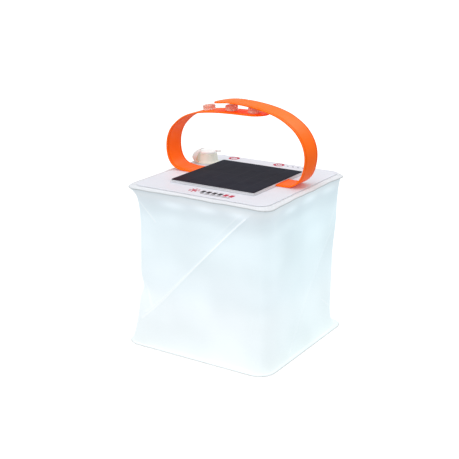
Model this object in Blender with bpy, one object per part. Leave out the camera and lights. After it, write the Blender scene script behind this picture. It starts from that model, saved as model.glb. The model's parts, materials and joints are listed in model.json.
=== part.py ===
"""Inflatable solar lantern: a film body that folds flat, a solar top unit and a snap strap.

Metres, +Z up. The origin is the middle of the bottom sheet's underside.
"""

import math

import bmesh
import bpy
from mathutils import Matrix, Vector

# Body
HEIGHT = 0.162              # floor to the printed face of the top
TOP_SIDE = 0.160            # outer side of the top flange
TOP_CORNER = 0.014
BASE_SIDE = TOP_SIDE + 0.004
BASE_CORNER = 0.017
FLANGE = 0.0030             # welded hem outside the wall
SHEET = 0.0008              # top and bottom sheet
WALL = 0.0006               # side film
WALL_CORNER = 0.015
WAIST = 0.0045              # how far the wall draws in between the flanges
WAIST_REACH = 0.020         # height over which it draws in
PRINT = 0.0003
PRINT_MARGIN = 0.0065       # flange edge to the printed face
PRINT_REAR_MARGIN = 0.0035
PRINT_CORNER = 0.0107
GAP = 0.0003                # between pieces that rest on each other

# Solar panel
PANEL_X = 0.094
PANEL_Y = 0.096
PANEL_CENTRE = (-0.0004, 0.0005)
PANEL_CORNER = 0.0025
PANEL_THICK = 0.0010
CELL_THICK = 0.0003
CELL_MARGIN = 0.0006

# Strap
STRAP_WIDTH = 0.025
STRAP_THICK = 0.0013
STRAP_Y = 0.006
STRAP_TIP = STRAP_WIDTH / 2     # radius of the rounded strap ends
LOOP_CLEAR = 0.0004         # between the band and each end at their shoulder
BAND_SPACING = 0.0045       # between the band's cross sections
TIP_WIDTH = 0.0008          # half width left at the very tip
LEFT_REACH = 0.0800         # outermost point of the strap's left side, from the middle
RIGHT_REACH = 0.0764
LOOP_HEIGHT = 0.0740        # crown of the upper strap above the top
LAP_HEIGHT = 0.0644         # lower strap above the top, where it carries the snaps
LOWER_TIP_X = 0.0292
UPPER_TIP_X = -0.0288

# Snaps
SNAP_PITCH = 0.0256
SNAP_FIRST_X = 0.0145
SOCKET_COUNT = 3
STUD_COUNT = 2
SOCKET_RADIUS = 0.0066
SOCKET_HEIGHT = 0.0050
SOCKET_BORE = 0.0040
SOCKET_RECESS = 0.0010      # depth of the hole that takes the rivet's shank
SOCKET_FLOOR = 0.0022       # height of the bore's floor
SOCKET_BEVEL = 0.0005
STUD_RADIUS = 0.0020
STUD_REACH = 0.0024
STUD_FLANGE = 0.0042
STUD_FLANGE_THICK = 0.0008
STUD_BEVEL = 0.0005
SHANK_RADIUS = 0.0016
SHANK_PLAY = 0.0003
RIVET_RADIUS = 0.0048
RIVET_THICK = 0.0009

# Valve
VALVE_FLANGE = 0.0122
VALVE_FOOT = VALVE_FLANGE - 0.0008
VALVE_NECK = VALVE_FLANGE - 0.0026
VALVE_HEIGHT = 0.0097
VALVE_BORE = VALVE_NECK - 0.0030
VALVE_SPIGOT = VALVE_BORE - 0.0010      # tube through the sheets
VALVE_SEAT = VALVE_SPIGOT - 0.0022
VALVE_CENTRE = (-TOP_SIDE / 2 + 0.0178, 0.0410)
VALVE_FLANGE_THICK = 0.0008
SPIGOT_DROP = 0.0050
PLUG_PLAY = 0.0007
PLUG_DEPTH = 0.0028
CAP_THICK = 0.0024
HINGE_OUT = 0.0012          # neck edge to the cap's living hinge
TAB_ANGLE = 20              # degrees from +X
TAB_LENGTH = 0.0048
TAB_HALF_WIDTH = 0.0020
TAB_HEIGHTS = (0.0012, 0.0026)      # above the cap's underside
LUG_HEIGHTS = (0.0001, 0.0011)
FLAP_THICK = 0.0006

# Electronics under the top
TRAY_X = (VALVE_CENTRE[0] + VALVE_SPIGOT + 0.0038, 0.0520)
TRAY_Y = (-0.0500, TOP_SIDE / 2 - FLANGE - 0.0030)
TRAY_WALL = 0.0009
TRAY_CORNER = 0.004
BOARD_PLAY = 0.0006
BOARD_THICK = 0.0012
BOARD_DROP = 0.0066         # printed face to the board's upper side
BATTERY = (0.056, 0.040, 0.0040)
BATTERY_CENTRE = (0.000, 0.010)
BATTERY_CORNER = 0.003
TRAY_DEPTH = BOARD_DROP + BOARD_THICK + BATTERY[2] + 0.0020
MAIN_LED = 0.0050
MAIN_LED_THICK = 0.0012
MAIN_LED_INSET = 0.0065
CHIP_CORNER = 0.0004
MAIN_LED_STATIONS = (-1.0, -0.333, 0.333, 1.0)
SCREW_RADIUS = 0.0010
SCREW_HEAD = 0.0019
SCREW_HEAD_THICK = 0.0009
SCREW_INSET = 0.0150
STANDOFF_WALL = 0.0011

# Controls
BUTTON_RADIUS = 0.0033
BUTTON_PLAY = 0.0003
BUTTON_TRAVEL = 0.0005
BUTTON_PROUD = 0.0003
BUTTON_FLANGE = BUTTON_RADIUS + 0.0006
BUTTON_FLANGE_THICK = 0.0007
BUTTON_BEVEL = 0.0003
BUTTON_STEM = 0.0015
BUTTON_ROW = TRAY_Y[1] - TRAY_WALL - BUTTON_FLANGE - 0.0004
POWER_BUTTON = (-0.0470, BUTTON_ROW)
LEVEL_BUTTON = (0.0070, BUTTON_ROW)
SWITCH_SIDE = 0.0060
SWITCH_HEIGHT = 0.0018
INDICATOR_FIRST = (0.0172, BUTTON_ROW + 0.0002)
INDICATOR_PITCH = 0.0060
INDICATOR_COUNT = 4
INDICATOR_RADIUS = 0.0010
INDICATOR_PLAY = 0.0003
LEAD_RADIUS = 0.0006
LEAD_SPACING = 0.0080
LEAD_Y = 0.0350

ROUND_STEPS = 32
SMALL_STEPS = 16
TINY_STEPS = 12

# Heights that follow
PRINT_LOW = HEIGHT - PRINT
SHEET_TOP = PRINT_LOW - GAP
SHEET_LOW = SHEET_TOP - SHEET
HEM_TOP = SHEET_LOW - GAP
FOOT_LOW = SHEET + GAP
STRAP_LOW = HEIGHT + GAP
PANEL_LOW = STRAP_LOW + STRAP_THICK + GAP
PANEL_TOP = PANEL_LOW + PANEL_THICK
BOARD_TOP = HEIGHT - BOARD_DROP
BOARD_LOW = BOARD_TOP - BOARD_THICK
TRAY_LOW = HEIGHT - TRAY_DEPTH
TRAY_TOP = HEM_TOP


def clear_scene():
    for item in list(bpy.data.objects):
        bpy.data.objects.remove(item, do_unlink=True)


def material(name, colour, roughness, metallic=0.0, alpha=1.0):
    made = bpy.data.materials.new(name)
    made.use_nodes = True
    shader = made.node_tree.nodes["Principled BSDF"]
    shader.inputs["Base Color"].default_value = (*colour, 1.0)
    shader.inputs["Roughness"].default_value = roughness
    shader.inputs["Metallic"].default_value = metallic
    shader.inputs["Alpha"].default_value = alpha
    made.diffuse_color = (*colour, alpha)
    return made


def finish_mesh(bm, name, surface, pivot=(0, 0, 0), round_angle=35):
    """One closed body with its faces pointing out, placed with its origin at pivot."""
    bmesh.ops.remove_doubles(bm, verts=bm.verts[:], dist=1e-6)
    bmesh.ops.recalc_face_normals(bm, faces=bm.faces[:])
    bmesh.ops.translate(bm, verts=bm.verts[:], vec=-Vector(pivot))
    mesh = bpy.data.meshes.new(name)
    bm.to_mesh(mesh)
    bm.free()
    mesh.shade_smooth()
    mesh.set_sharp_from_angle(angle=math.radians(round_angle))
    mesh.materials.append(surface)
    made = bpy.data.objects.new(name, mesh)
    made.location = pivot
    bpy.context.scene.collection.objects.link(made)
    return made


def rounded_outline(x_low, x_high, y_low, y_high, radius, steps=6):
    """Counter-clockwise outline of a rectangle with round corners."""
    corners = (
        (x_high - radius, y_high - radius, 0),
        (x_low + radius, y_high - radius, 90),
        (x_low + radius, y_low + radius, 180),
        (x_high - radius, y_low + radius, 270),
    )
    outline = []
    for x, y, start in corners:
        for step in range(steps + 1):
            angle = math.radians(start + 90 * step / steps)
            outline.append((x + radius * math.cos(angle), y + radius * math.sin(angle)))
    return outline


def square_outline(side, radius):
    half = side / 2
    return rounded_outline(-half, half, -half, half, radius)


def extrude_outline(bm, outline, low, high):
    face = bm.faces.new([bm.verts.new((x, y, low)) for x, y in outline])
    grown = bmesh.ops.extrude_face_region(bm, geom=[face])
    lifted = [item for item in grown["geom"] if isinstance(item, bmesh.types.BMVert)]
    bmesh.ops.translate(bm, verts=lifted, vec=(0, 0, high - low))


def plate(name, outline, low, high, surface, pivot=(0, 0, 0)):
    bm = bmesh.new()
    extrude_outline(bm, outline, low, high)
    return finish_mesh(bm, name, surface, pivot)


def spin_profile(bm, profile, steps, place=None):
    """Turns a closed profile of (radius, height) points round Z, then places it."""
    points = [bm.verts.new((radius, 0, height)) for radius, height in profile]
    count = len(points)
    edges = []
    for index in range(count):
        first, second = points[index], points[(index + 1) % count]
        on_axis = profile[index][0] == 0 and profile[(index + 1) % count][0] == 0
        if not on_axis:
            edges.append(bm.edges.new((first, second)))
    bmesh.ops.spin(
        bm, geom=points + edges, cent=(0, 0, 0), axis=(0, 0, 1),
        angle=math.tau, steps=steps, use_merge=True,
    )
    bmesh.ops.remove_doubles(bm, verts=bm.verts[:], dist=1e-6)
    if place is not None:
        bmesh.ops.transform(bm, matrix=place, verts=bm.verts[:])


def turned(name, profile, surface, place=None, steps=SMALL_STEPS, pivot=(0, 0, 0)):
    bm = bmesh.new()
    spin_profile(bm, profile, steps, place)
    return finish_mesh(bm, name, surface, pivot)


def disc_profile(radius, low, high):
    return [(0, low), (radius, low), (radius, high), (0, high)]


def cylinders(name, sizes):
    """Upright cutter of several rods: (x, y, radius, low, high) each."""
    bm = bmesh.new()
    for x, y, radius, low, high in sizes:
        bmesh.ops.create_cone(
            bm, cap_ends=True, segments=ROUND_STEPS, radius1=radius, radius2=radius,
            depth=high - low, matrix=Matrix.Translation((x, y, (low + high) / 2)),
        )
    return cutter(bm, name)


def cutter(bm, name):
    bmesh.ops.recalc_face_normals(bm, faces=bm.faces[:])
    mesh = bpy.data.meshes.new(name)
    bm.to_mesh(mesh)
    bm.free()
    made = bpy.data.objects.new(name, mesh)
    made.hide_render = True
    made.display_type = "WIRE"
    bpy.context.scene.collection.objects.link(made)
    return made


def cut(target, tool):
    modifier = target.modifiers.new("opening", "BOOLEAN")
    modifier.operation = "DIFFERENCE"
    modifier.solver = "EXACT"
    modifier.object = tool


# Film body -----------------------------------------------------------------


def wall_half(height):
    """Half side of the wall: drawn in at mid height, wider at each flange."""
    rise = height - FOOT_LOW
    fall = HEM_TOP - height
    base_half = BASE_SIDE / 2 - FLANGE
    top_half = TOP_SIDE / 2 - FLANGE
    share = rise / (rise + fall)
    straight = base_half + (top_half - base_half) * share
    eased = 1 - math.exp(-rise / WAIST_REACH) - math.exp(-fall / WAIST_REACH)
    return straight - WAIST * max(eased, 0.0)


def wall_ring(bm, half, corner, height):
    outline = rounded_outline(-half, half, -half, half, corner)
    return [bm.verts.new((x, y, height)) for x, y in outline]


def side_wall(surface):
    """Film tube with a hem turned out at its foot and at its head."""
    foot_half = BASE_SIDE / 2 - GAP
    head_half = TOP_SIDE / 2 - GAP
    levels = 12
    foot_top = FOOT_LOW + WALL
    head_low = HEM_TOP - WALL
    bm = bmesh.new()
    rings = [
        wall_ring(bm, foot_half, BASE_CORNER, FOOT_LOW),
        wall_ring(bm, foot_half, BASE_CORNER, foot_top),
    ]
    for level in range(levels + 1):
        height = foot_top + (head_low - foot_top) * level / levels
        rings.append(wall_ring(bm, wall_half(height), WALL_CORNER, height))
    rings.append(wall_ring(bm, head_half, TOP_CORNER, head_low))
    rings.append(wall_ring(bm, head_half, TOP_CORNER, HEM_TOP))
    for level in range(levels, -1, -1):
        height = FOOT_LOW + (HEM_TOP - FOOT_LOW) * level / levels
        ring = wall_ring(bm, wall_half(height) - WALL, WALL_CORNER - WALL, height)
        rings.append(ring)
    for index, ring in enumerate(rings):
        following = rings[(index + 1) % len(rings)]
        for point in range(len(ring)):
            after = (point + 1) % len(ring)
            bm.faces.new((ring[point], ring[after], following[after], following[point]))
    return finish_mesh(bm, "side_wall", surface)


def film_body(film):
    plate("bottom_sheet", square_outline(BASE_SIDE, BASE_CORNER), 0, SHEET, film)
    side_wall(film)


# Top unit ------------------------------------------------------------------


def indicator_places():
    x, y = INDICATOR_FIRST
    return [(x + INDICATOR_PITCH * number, y) for number in range(INDICATOR_COUNT)]


def lead_places():
    x, _ = PANEL_CENTRE
    return [(x + side * LEAD_SPACING / 2, LEAD_Y) for side in (-1, 1)]


def top_openings():
    """Holes that the valve, buttons, indicators and panel leads pass through."""
    low, high = SHEET_LOW - GAP, HEIGHT + GAP
    sizes = [(*VALVE_CENTRE, VALVE_SPIGOT + GAP, low, high)]
    for place in (POWER_BUTTON, LEVEL_BUTTON):
        sizes.append((*place, BUTTON_RADIUS + BUTTON_PLAY, low, high))
    for place in indicator_places():
        sizes.append((*place, INDICATOR_RADIUS + INDICATOR_PLAY, low, high))
    for place in lead_places():
        sizes.append((*place, LEAD_RADIUS + GAP, low, high))
    return cylinders("top_opening_cutter", sizes)


def top_sheets(film, printed):
    tool = top_openings()
    sheet = plate("top_sheet", square_outline(TOP_SIDE, TOP_CORNER), SHEET_LOW, SHEET_TOP, film)
    cut(sheet, tool)
    half = TOP_SIDE / 2
    side = half - PRINT_MARGIN
    outline = rounded_outline(-side, side, -side, half - PRINT_REAR_MARGIN, PRINT_CORNER)
    face = plate("printed_face", outline, PRINT_LOW, HEIGHT, printed)
    cut(face, tool)


def panel_edges(inset=0.0):
    x, y = PANEL_CENTRE
    half_x = PANEL_X / 2 - inset
    half_y = PANEL_Y / 2 - inset
    return x - half_x, x + half_x, y - half_y, y + half_y


def solar_panel(laminate, cells, foam):
    """Laminate on two foam pads, which leave a channel for the strap between them."""
    x_low, x_high, y_low, y_high = panel_edges()
    board_top = PANEL_TOP - CELL_THICK - GAP
    outline = rounded_outline(x_low, x_high, y_low, y_high, PANEL_CORNER)
    plate("solar_panel_board", outline, PANEL_LOW, board_top, laminate)
    cell_outline = rounded_outline(*panel_edges(CELL_MARGIN), PANEL_CORNER - CELL_MARGIN)
    plate("solar_cell_sheet", cell_outline, PANEL_TOP - CELL_THICK, PANEL_TOP, cells)
    strap_low = STRAP_Y - STRAP_WIDTH / 2 - GAP
    strap_high = STRAP_Y + STRAP_WIDTH / 2 + GAP
    pad_low, pad_high = HEIGHT + GAP, PANEL_LOW - GAP
    front = rounded_outline(x_low, x_high, y_low, strap_low, PANEL_CORNER / 2)
    rear = rounded_outline(x_low, x_high, strap_high, y_high, PANEL_CORNER / 2)
    plate("panel_pad_front", front, pad_low, pad_high, foam)
    rear_pad = plate("panel_pad_rear", rear, pad_low, pad_high, foam)
    holes = [(*place, LEAD_RADIUS + GAP, pad_low - GAP, pad_high + GAP) for place in lead_places()]
    cut(rear_pad, cylinders("pad_lead_cutter", holes))


def panel_leads(lead_finishes):
    for number, (x, y) in enumerate(lead_places()):
        profile = disc_profile(LEAD_RADIUS, BOARD_TOP + GAP, PANEL_LOW - GAP)
        place = Matrix.Translation((x, y, 0))
        turned(f"panel_lead_{number + 1}", profile, lead_finishes[number], place, TINY_STEPS)


# Strap ---------------------------------------------------------------------


def smooth_route(points, spacing):
    """Evenly spaced points on a Catmull-Rom curve through the given (x, z) points."""
    fine = []
    last = len(points) - 1
    for index in range(last):
        before = points[max(index - 1, 0)]
        here, after = points[index], points[index + 1]
        beyond = points[min(index + 2, last)]
        for step in range(12):
            t = step / 12
            fine.append(tuple(
                0.5 * (2 * h + (a - b) * t + (2 * b - 5 * h + 4 * a - n) * t * t
                       + (3 * h - 3 * a + n - b) * t ** 3)
                for b, h, a, n in zip(before, here, after, beyond)
            ))
    fine.append(points[-1])
    fine = [Vector(point) for point in fine]
    runs = [(second - first).length for first, second in zip(fine, fine[1:])]
    count = max(2, round(sum(runs) / spacing))
    target = sum(runs) / count
    route, travelled, wanted = [fine[0]], 0.0, target
    for first, second, run in zip(fine, fine[1:], runs):
        while run > 0 and travelled + run >= wanted and len(route) < count:
            route.append(first.lerp(second, (wanted - travelled) / run))
            wanted += target
        travelled += run
    route.append(fine[-1])
    return route


def left_route():
    """Middle of the left strap side, from the panel's edge over the shoulder to its tip."""
    flat = STRAP_LOW + STRAP_THICK / 2 - HEIGHT
    reach, lap = LEFT_REACH, LAP_HEIGHT
    rise = [
        (-PANEL_X / 2, flat), (-0.78 * reach, flat + 0.0004), (-0.900 * reach, 0.062 * lap),
        (-0.970 * reach, 0.163 * lap), (-reach, 0.310 * lap), (-0.993 * reach, 0.480 * lap),
        (-0.944 * reach, 0.636 * lap), (-0.855 * reach, 0.761 * lap), left_hinge(),
    ]
    end = [
        left_hinge(), (-0.632 * reach, 0.919 * lap), (-0.482 * reach, 0.961 * lap),
        (-0.281 * reach, 0.988 * lap), (-0.06 * reach, 0.998 * lap), (0.0145, lap),
        (LOWER_TIP_X, lap + 0.0004),
    ]
    return rise, end


def left_hinge():
    return (-0.754 * LEFT_REACH, 0.854 * LAP_HEIGHT)


def right_route():
    flat = STRAP_LOW + STRAP_THICK / 2 - HEIGHT
    reach, crown = RIGHT_REACH, LOOP_HEIGHT
    rise = [
        (PANEL_X / 2, flat), (0.72 * reach, flat), (0.812 * reach, 0.025 * crown),
        (0.892 * reach, 0.075 * crown), (0.949 * reach, 0.152 * crown),
        (0.986 * reach, 0.263 * crown), (reach, 0.392 * crown), (0.982 * reach, 0.514 * crown),
        (0.932 * reach, 0.628 * crown), (0.851 * reach, 0.733 * crown), right_hinge(),
    ]
    end = [
        right_hinge(), (0.622 * reach, 0.884 * crown), (0.471 * reach, 0.934 * crown),
        (0.321 * reach, 0.966 * crown), (0.157 * reach, 0.988 * crown), (0, 0.999 * crown),
        (-0.131 * reach, crown), (-0.262 * reach, 0.986 * crown), (UPPER_TIP_X, 0.967 * crown),
    ]
    return rise, end


def right_hinge():
    return (0.753 * RIGHT_REACH, 0.811 * LOOP_HEIGHT)


def distances(route):
    """Distance of each point from the start of the route."""
    travelled = [0.0]
    for first, second in zip(route, route[1:]):
        travelled.append(travelled[-1] + (second - first).length)
    return travelled


def ribbon_stations(travelled, free_end):
    """Where the cross sections go; a free end gets more at its hinge and at its tip."""
    if not free_end:
        return travelled
    total = travelled[-1]
    hinge = [STRAP_THICK / 2 * share for share in (0.0, 0.3, 0.65, 1.0)]
    middle = [station for station in travelled if station < total - STRAP_TIP]
    turns = [math.radians(angle) for angle in range(0, 85, 12)]
    tip = [total - STRAP_TIP * (1 - math.sin(turn)) for turn in turns]
    return sorted({*hinge, *middle, *tip, total})


def section_size(station, total, free_end):
    """Half width and half thickness: half round at the hinge, round in plan at the tip."""
    wide, thick = STRAP_WIDTH / 2, STRAP_THICK / 2
    if free_end and station < thick:
        back = 1 - station / thick
        thick *= max(math.sqrt(1 - back * back), 0.15)
    if free_end and station > total - STRAP_TIP:
        out = (station - total + STRAP_TIP) / STRAP_TIP
        wide = max(STRAP_TIP * math.sqrt(max(1 - out * out, 0.0)), TIP_WIDTH)
    return wide, thick


def ribbon(name, route, surface, pivot=(0, 0, 0), free_end=False):
    """Flat band swept along (x, height above the top) points."""
    travelled = distances(route)
    total = travelled[-1]
    bm = bmesh.new()
    rings = []
    for station in ribbon_stations(travelled, free_end):
        point, normal = along(route, travelled, station)
        wide, thick = section_size(station, total, free_end)
        ring = []
        for aside, up in ((-wide, -thick), (wide, -thick), (wide, thick), (-wide, thick)):
            x, z = point + normal * up
            ring.append(bm.verts.new((x, STRAP_Y + aside, HEIGHT + z)))
        rings.append(ring)
    for first, second in zip(rings, rings[1:]):
        for corner in range(4):
            after = (corner + 1) % 4
            bm.faces.new((first[corner], first[after], second[after], second[corner]))
    bm.faces.new(rings[0])
    bm.faces.new(reversed(rings[-1]))
    return finish_mesh(bm, name, surface, pivot)


def along(route, travelled, station):
    """Point on the route and its unit normal, at a distance from its start."""
    for index in range(len(route) - 1):
        if station <= travelled[index + 1] or index == len(route) - 2:
            run = travelled[index + 1] - travelled[index]
            point = route[index].lerp(route[index + 1], (station - travelled[index]) / run)
            first = route[max(index - 1, 0)]
            second = route[min(index + 2, len(route) - 1)]
            direction = (second - first).normalized()
            return point, Vector((-direction.y, direction.x))
    raise ValueError("the route has no stretch there")


def trimmed(route, start, end):
    """The route without its first start and last end metres."""
    travelled = distances(route)
    total = travelled[-1]
    inner = [
        point for point, station in zip(route, travelled)
        if start + 1e-4 < station < total - end - 1e-4
    ]
    return [along(route, travelled, start)[0], *inner, along(route, travelled, total - end)[0]]


def hinge_world(place):
    return (place[0], STRAP_Y, HEIGHT + place[1])


def straps(surface):
    """One band under the panel up to both shoulders, and the two ends that lap over it."""
    left_rise, left_end = left_route()
    right_rise, right_end = right_route()
    left = smooth_route(left_rise, BAND_SPACING)
    right = smooth_route(right_rise, BAND_SPACING)
    held = STRAP_THICK / 2 + LOOP_CLEAR
    half_round = STRAP_THICK / 2
    left = trimmed(left, 0, held)
    right = trimmed(right, 0, held)
    ribbon("strap_band", [*reversed(left), *right], surface)
    left_free = [Vector(left_end[0])] + smooth_route(left_end, BAND_SPACING)[1:]
    right_free = [Vector(right_end[0])] + smooth_route(right_end, BAND_SPACING)[1:]
    lower = ribbon("strap_lower_end", started_early(left_free, half_round), surface,
                   hinge_world(left_hinge()), True)
    upper = ribbon("strap_upper_end", started_early(right_free, half_round), surface,
                   hinge_world(right_hinge()), True)
    return lower, upper


def started_early(route, distance):
    """The route with its first point moved back, so that its half-round end centres on the hinge."""
    direction = (route[1] - route[0]).normalized()
    return [route[0] - direction * distance, *route]


def surface_frame(route_points, x):
    """Place on the strap at x: the point on its middle line and its tilt about Y."""
    route = smooth_route(route_points, 0.001)
    for first, second in zip(route, route[1:]):
        if min(first.x, second.x) <= x <= max(first.x, second.x):
            share = (x - first.x) / (second.x - first.x)
            point = first.lerp(second, share)
            direction = (second - first) if second.x > first.x else (first - second)
            return point, -math.atan2(direction.y, direction.x)
    raise ValueError("a snap lies off its strap")


def snap_place(route_points, x):
    point, tilt = surface_frame(route_points, x)
    lift = Matrix.Translation((point.x, STRAP_Y, HEIGHT + point.y))
    return lift @ Matrix.Rotation(tilt, 4, "Y")


def snap_stations(count):
    return [SNAP_FIRST_X - SNAP_PITCH * number for number in range(count)]


def socket_profile():
    """Cup with a wider foot, a bore for the stud and a recess for the rivet's shank."""
    base = STRAP_THICK / 2 + GAP
    top = base + SOCKET_HEIGHT
    rim = SOCKET_RADIUS - SOCKET_BEVEL
    recess = SHANK_RADIUS + SHANK_PLAY
    return [
        (0, base + SOCKET_RECESS), (recess, base + SOCKET_RECESS), (recess, base),
        (rim, base), (SOCKET_RADIUS, base + SOCKET_BEVEL),
        (SOCKET_RADIUS, base + 2 * SOCKET_BEVEL), (rim, base + 3 * SOCKET_BEVEL),
        (rim, top - SOCKET_BEVEL), (rim - SOCKET_BEVEL, top), (SOCKET_BORE, top),
        (SOCKET_BORE, base + SOCKET_FLOOR), (0, base + SOCKET_FLOOR),
    ]


def rivet_profile():
    """Head under the strap with a shank up through it into the socket."""
    head = -STRAP_THICK / 2 - GAP
    shank_top = STRAP_THICK / 2 + SOCKET_RECESS
    return [
        (0, head - RIVET_THICK), (RIVET_RADIUS - RIVET_THICK / 2, head - RIVET_THICK),
        (RIVET_RADIUS, head - RIVET_THICK / 2), (RIVET_RADIUS, head), (SHANK_RADIUS, head),
        (SHANK_RADIUS, shank_top), (0, shank_top),
    ]


def stud_profile():
    """Flange under the strap, a nose that enters the socket, and a shank up into the strap."""
    flange = -STRAP_THICK / 2 - GAP
    foot = flange - STUD_FLANGE_THICK
    nose = foot - STUD_REACH
    shank_top = STRAP_THICK / 2 - GAP
    return [
        (0, nose), (STUD_RADIUS - STUD_BEVEL, nose), (STUD_RADIUS, nose + STUD_BEVEL),
        (STUD_RADIUS, nose + 2 * STUD_BEVEL), (STUD_RADIUS - STUD_BEVEL, foot),
        (STUD_FLANGE, foot), (STUD_FLANGE, flange), (SHANK_RADIUS, flange),
        (SHANK_RADIUS, shank_top), (0, shank_top),
    ]


def shank_cutter(name, places):
    bm = bmesh.new()
    for place in places:
        bmesh.ops.create_cone(
            bm, cap_ends=True, segments=TINY_STEPS, radius1=SHANK_RADIUS + SHANK_PLAY,
            radius2=SHANK_RADIUS + SHANK_PLAY, depth=3 * STRAP_THICK, matrix=place,
        )
    return cutter(bm, name)


def snaps(lower, upper, clear_plastic):
    """Sockets riveted on the lower strap end, and studs through the upper one."""
    lower_points = left_route()[1]
    upper_points = right_route()[1]
    left_pivot = hinge_world(left_hinge())
    right_pivot = hinge_world(right_hinge())
    socket_places = [snap_place(lower_points, x) for x in snap_stations(SOCKET_COUNT)]
    stud_places = [snap_place(upper_points, x) for x in snap_stations(STUD_COUNT)]
    for number, place in enumerate(socket_places, 1):
        turned(f"snap_socket_{number}", socket_profile(), clear_plastic, place,
               SMALL_STEPS + 8, left_pivot)
        turned(f"snap_rivet_{number}", rivet_profile(), clear_plastic, place,
               SMALL_STEPS, left_pivot)
    for number, place in enumerate(stud_places, 1):
        turned(f"snap_stud_{number}", stud_profile(), clear_plastic, place,
               SMALL_STEPS, right_pivot)
    cut(lower, shank_cutter("lower_shank_cutter", socket_places))
    cut(upper, shank_cutter("upper_shank_cutter", stud_places))


# Valve ---------------------------------------------------------------------


def tab_direction():
    angle = math.radians(TAB_ANGLE)
    return Vector((math.cos(angle), math.sin(angle), 0))


def valve_rim():
    return HEIGHT + GAP + VALVE_HEIGHT


def valve_pivot():
    """Middle of the living hinge, opposite the finger tab."""
    centre = Vector((*VALVE_CENTRE, valve_rim() + GAP / 2))
    return centre - tab_direction() * (VALVE_NECK + HINGE_OUT)


def valve_body(clear_plastic):
    """Flange on the top, a tapering neck above it and a spigot down through the sheets."""
    low = HEIGHT + GAP
    foot = low + VALVE_FLANGE_THICK
    rim = valve_rim()
    spigot_low = SHEET_LOW - SPIGOT_DROP
    profile = [
        (VALVE_SEAT, spigot_low), (VALVE_SPIGOT, spigot_low), (VALVE_SPIGOT, low),
        (VALVE_FLANGE, low), (VALVE_FLANGE, foot), (VALVE_FOOT, foot + GAP),
        (VALVE_NECK, rim), (VALVE_BORE, rim), (VALVE_BORE, low + 3 * VALVE_FLANGE_THICK),
        (VALVE_SEAT, low + 2 * VALVE_FLANGE_THICK),
    ]
    turned("valve_body", profile, clear_plastic, Matrix.Translation((*VALVE_CENTRE, 0)), ROUND_STEPS)


def valve_flap(rubber):
    """Soft disc under the spigot, which opens inwards and closes on it."""
    high = SHEET_LOW - SPIGOT_DROP - GAP
    profile = disc_profile(VALVE_SPIGOT, high - FLAP_THICK, high)
    turned("valve_flap", profile, rubber, Matrix.Translation((*VALVE_CENTRE, 0)), SMALL_STEPS)


def valve_cap(clear_plastic):
    """Cap disc with a plug under it, a finger tab, and a lug on the hinge side."""
    low = valve_rim() + GAP
    top = low + CAP_THICK
    plug = VALVE_BORE - PLUG_PLAY
    edge = VALVE_NECK
    nose = low - PLUG_DEPTH
    profile = [
        (0, nose), (plug - PLUG_PLAY, nose), (plug, nose + PLUG_PLAY), (plug, low), (edge, low),
        (edge, low + CAP_THICK * 0.45), (edge * 0.94, low + CAP_THICK * 0.75),
        (edge * 0.72, top), (0, top),
    ]
    spot = Matrix.Translation((*VALVE_CENTRE, 0))
    cap = turned("valve_cap", profile, clear_plastic, spot, ROUND_STEPS, tuple(valve_pivot()))
    tab_heights = (low + height for height in TAB_HEIGHTS)
    lug_heights = (low + height for height in LUG_HEIGHTS)
    tab = arm_solid("tab_shape", VALVE_NECK * 0.6, VALVE_NECK + TAB_LENGTH, *tab_heights)
    lug = arm_solid("lug_shape", -VALVE_NECK * 0.6, -VALVE_NECK - HINGE_OUT, *lug_heights)
    for piece in (tab, lug):
        joined = cap.modifiers.new("joined", "BOOLEAN")
        joined.operation = "UNION"
        joined.solver = "EXACT"
        joined.object = piece


def arm_solid(name, start, end, low, high):
    """Flat arm along the tab's direction with a round far end."""
    half_width = TAB_HALF_WIDTH
    direction = tab_direction()
    aside = Vector((-direction.y, direction.x, 0))
    centre = Vector((*VALVE_CENTRE, 0))
    sign = 1 if end > start else -1
    outline = [centre + direction * start - aside * half_width * sign]
    for step in range(9):
        angle = math.radians(-90 + 180 * step / 8)
        out = end + sign * half_width * (math.cos(angle) - 1)
        outline.append(centre + direction * out + aside * half_width * math.sin(angle) * sign)
    outline.append(centre + direction * start + aside * half_width * sign)
    bm = bmesh.new()
    extrude_outline(bm, [(point.x, point.y) for point in outline], low, high)
    return cutter(bm, name)


# Electronics ---------------------------------------------------------------


def tray(clear_plastic):
    """Open-topped clear tray under the top sheet; the main lights shine down through it."""
    x_low, x_high = TRAY_X
    y_low, y_high = TRAY_Y
    outline = rounded_outline(x_low, x_high, y_low, y_high, TRAY_CORNER)
    body = plate("module_tray", outline, TRAY_LOW, TRAY_TOP, clear_plastic)
    inner = rounded_outline(
        x_low + TRAY_WALL, x_high - TRAY_WALL, y_low + TRAY_WALL, y_high - TRAY_WALL,
        TRAY_CORNER - TRAY_WALL,
    )
    bm = bmesh.new()
    extrude_outline(bm, inner, TRAY_LOW + TRAY_WALL, TRAY_TOP + TRAY_WALL)
    cut(body, cutter(bm, "tray_cutter"))


def board_edges():
    inset = TRAY_WALL + BOARD_PLAY
    return TRAY_X[0] + inset, TRAY_X[1] - inset, TRAY_Y[0] + inset, TRAY_Y[1] - inset


def screw_places():
    x_low, x_high, y_low, y_high = board_edges()
    return [(x, y) for x in (x_low + SCREW_INSET, x_high - SCREW_INSET)
            for y in (y_low + SCREW_INSET, y_high - SCREW_INSET)]


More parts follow.
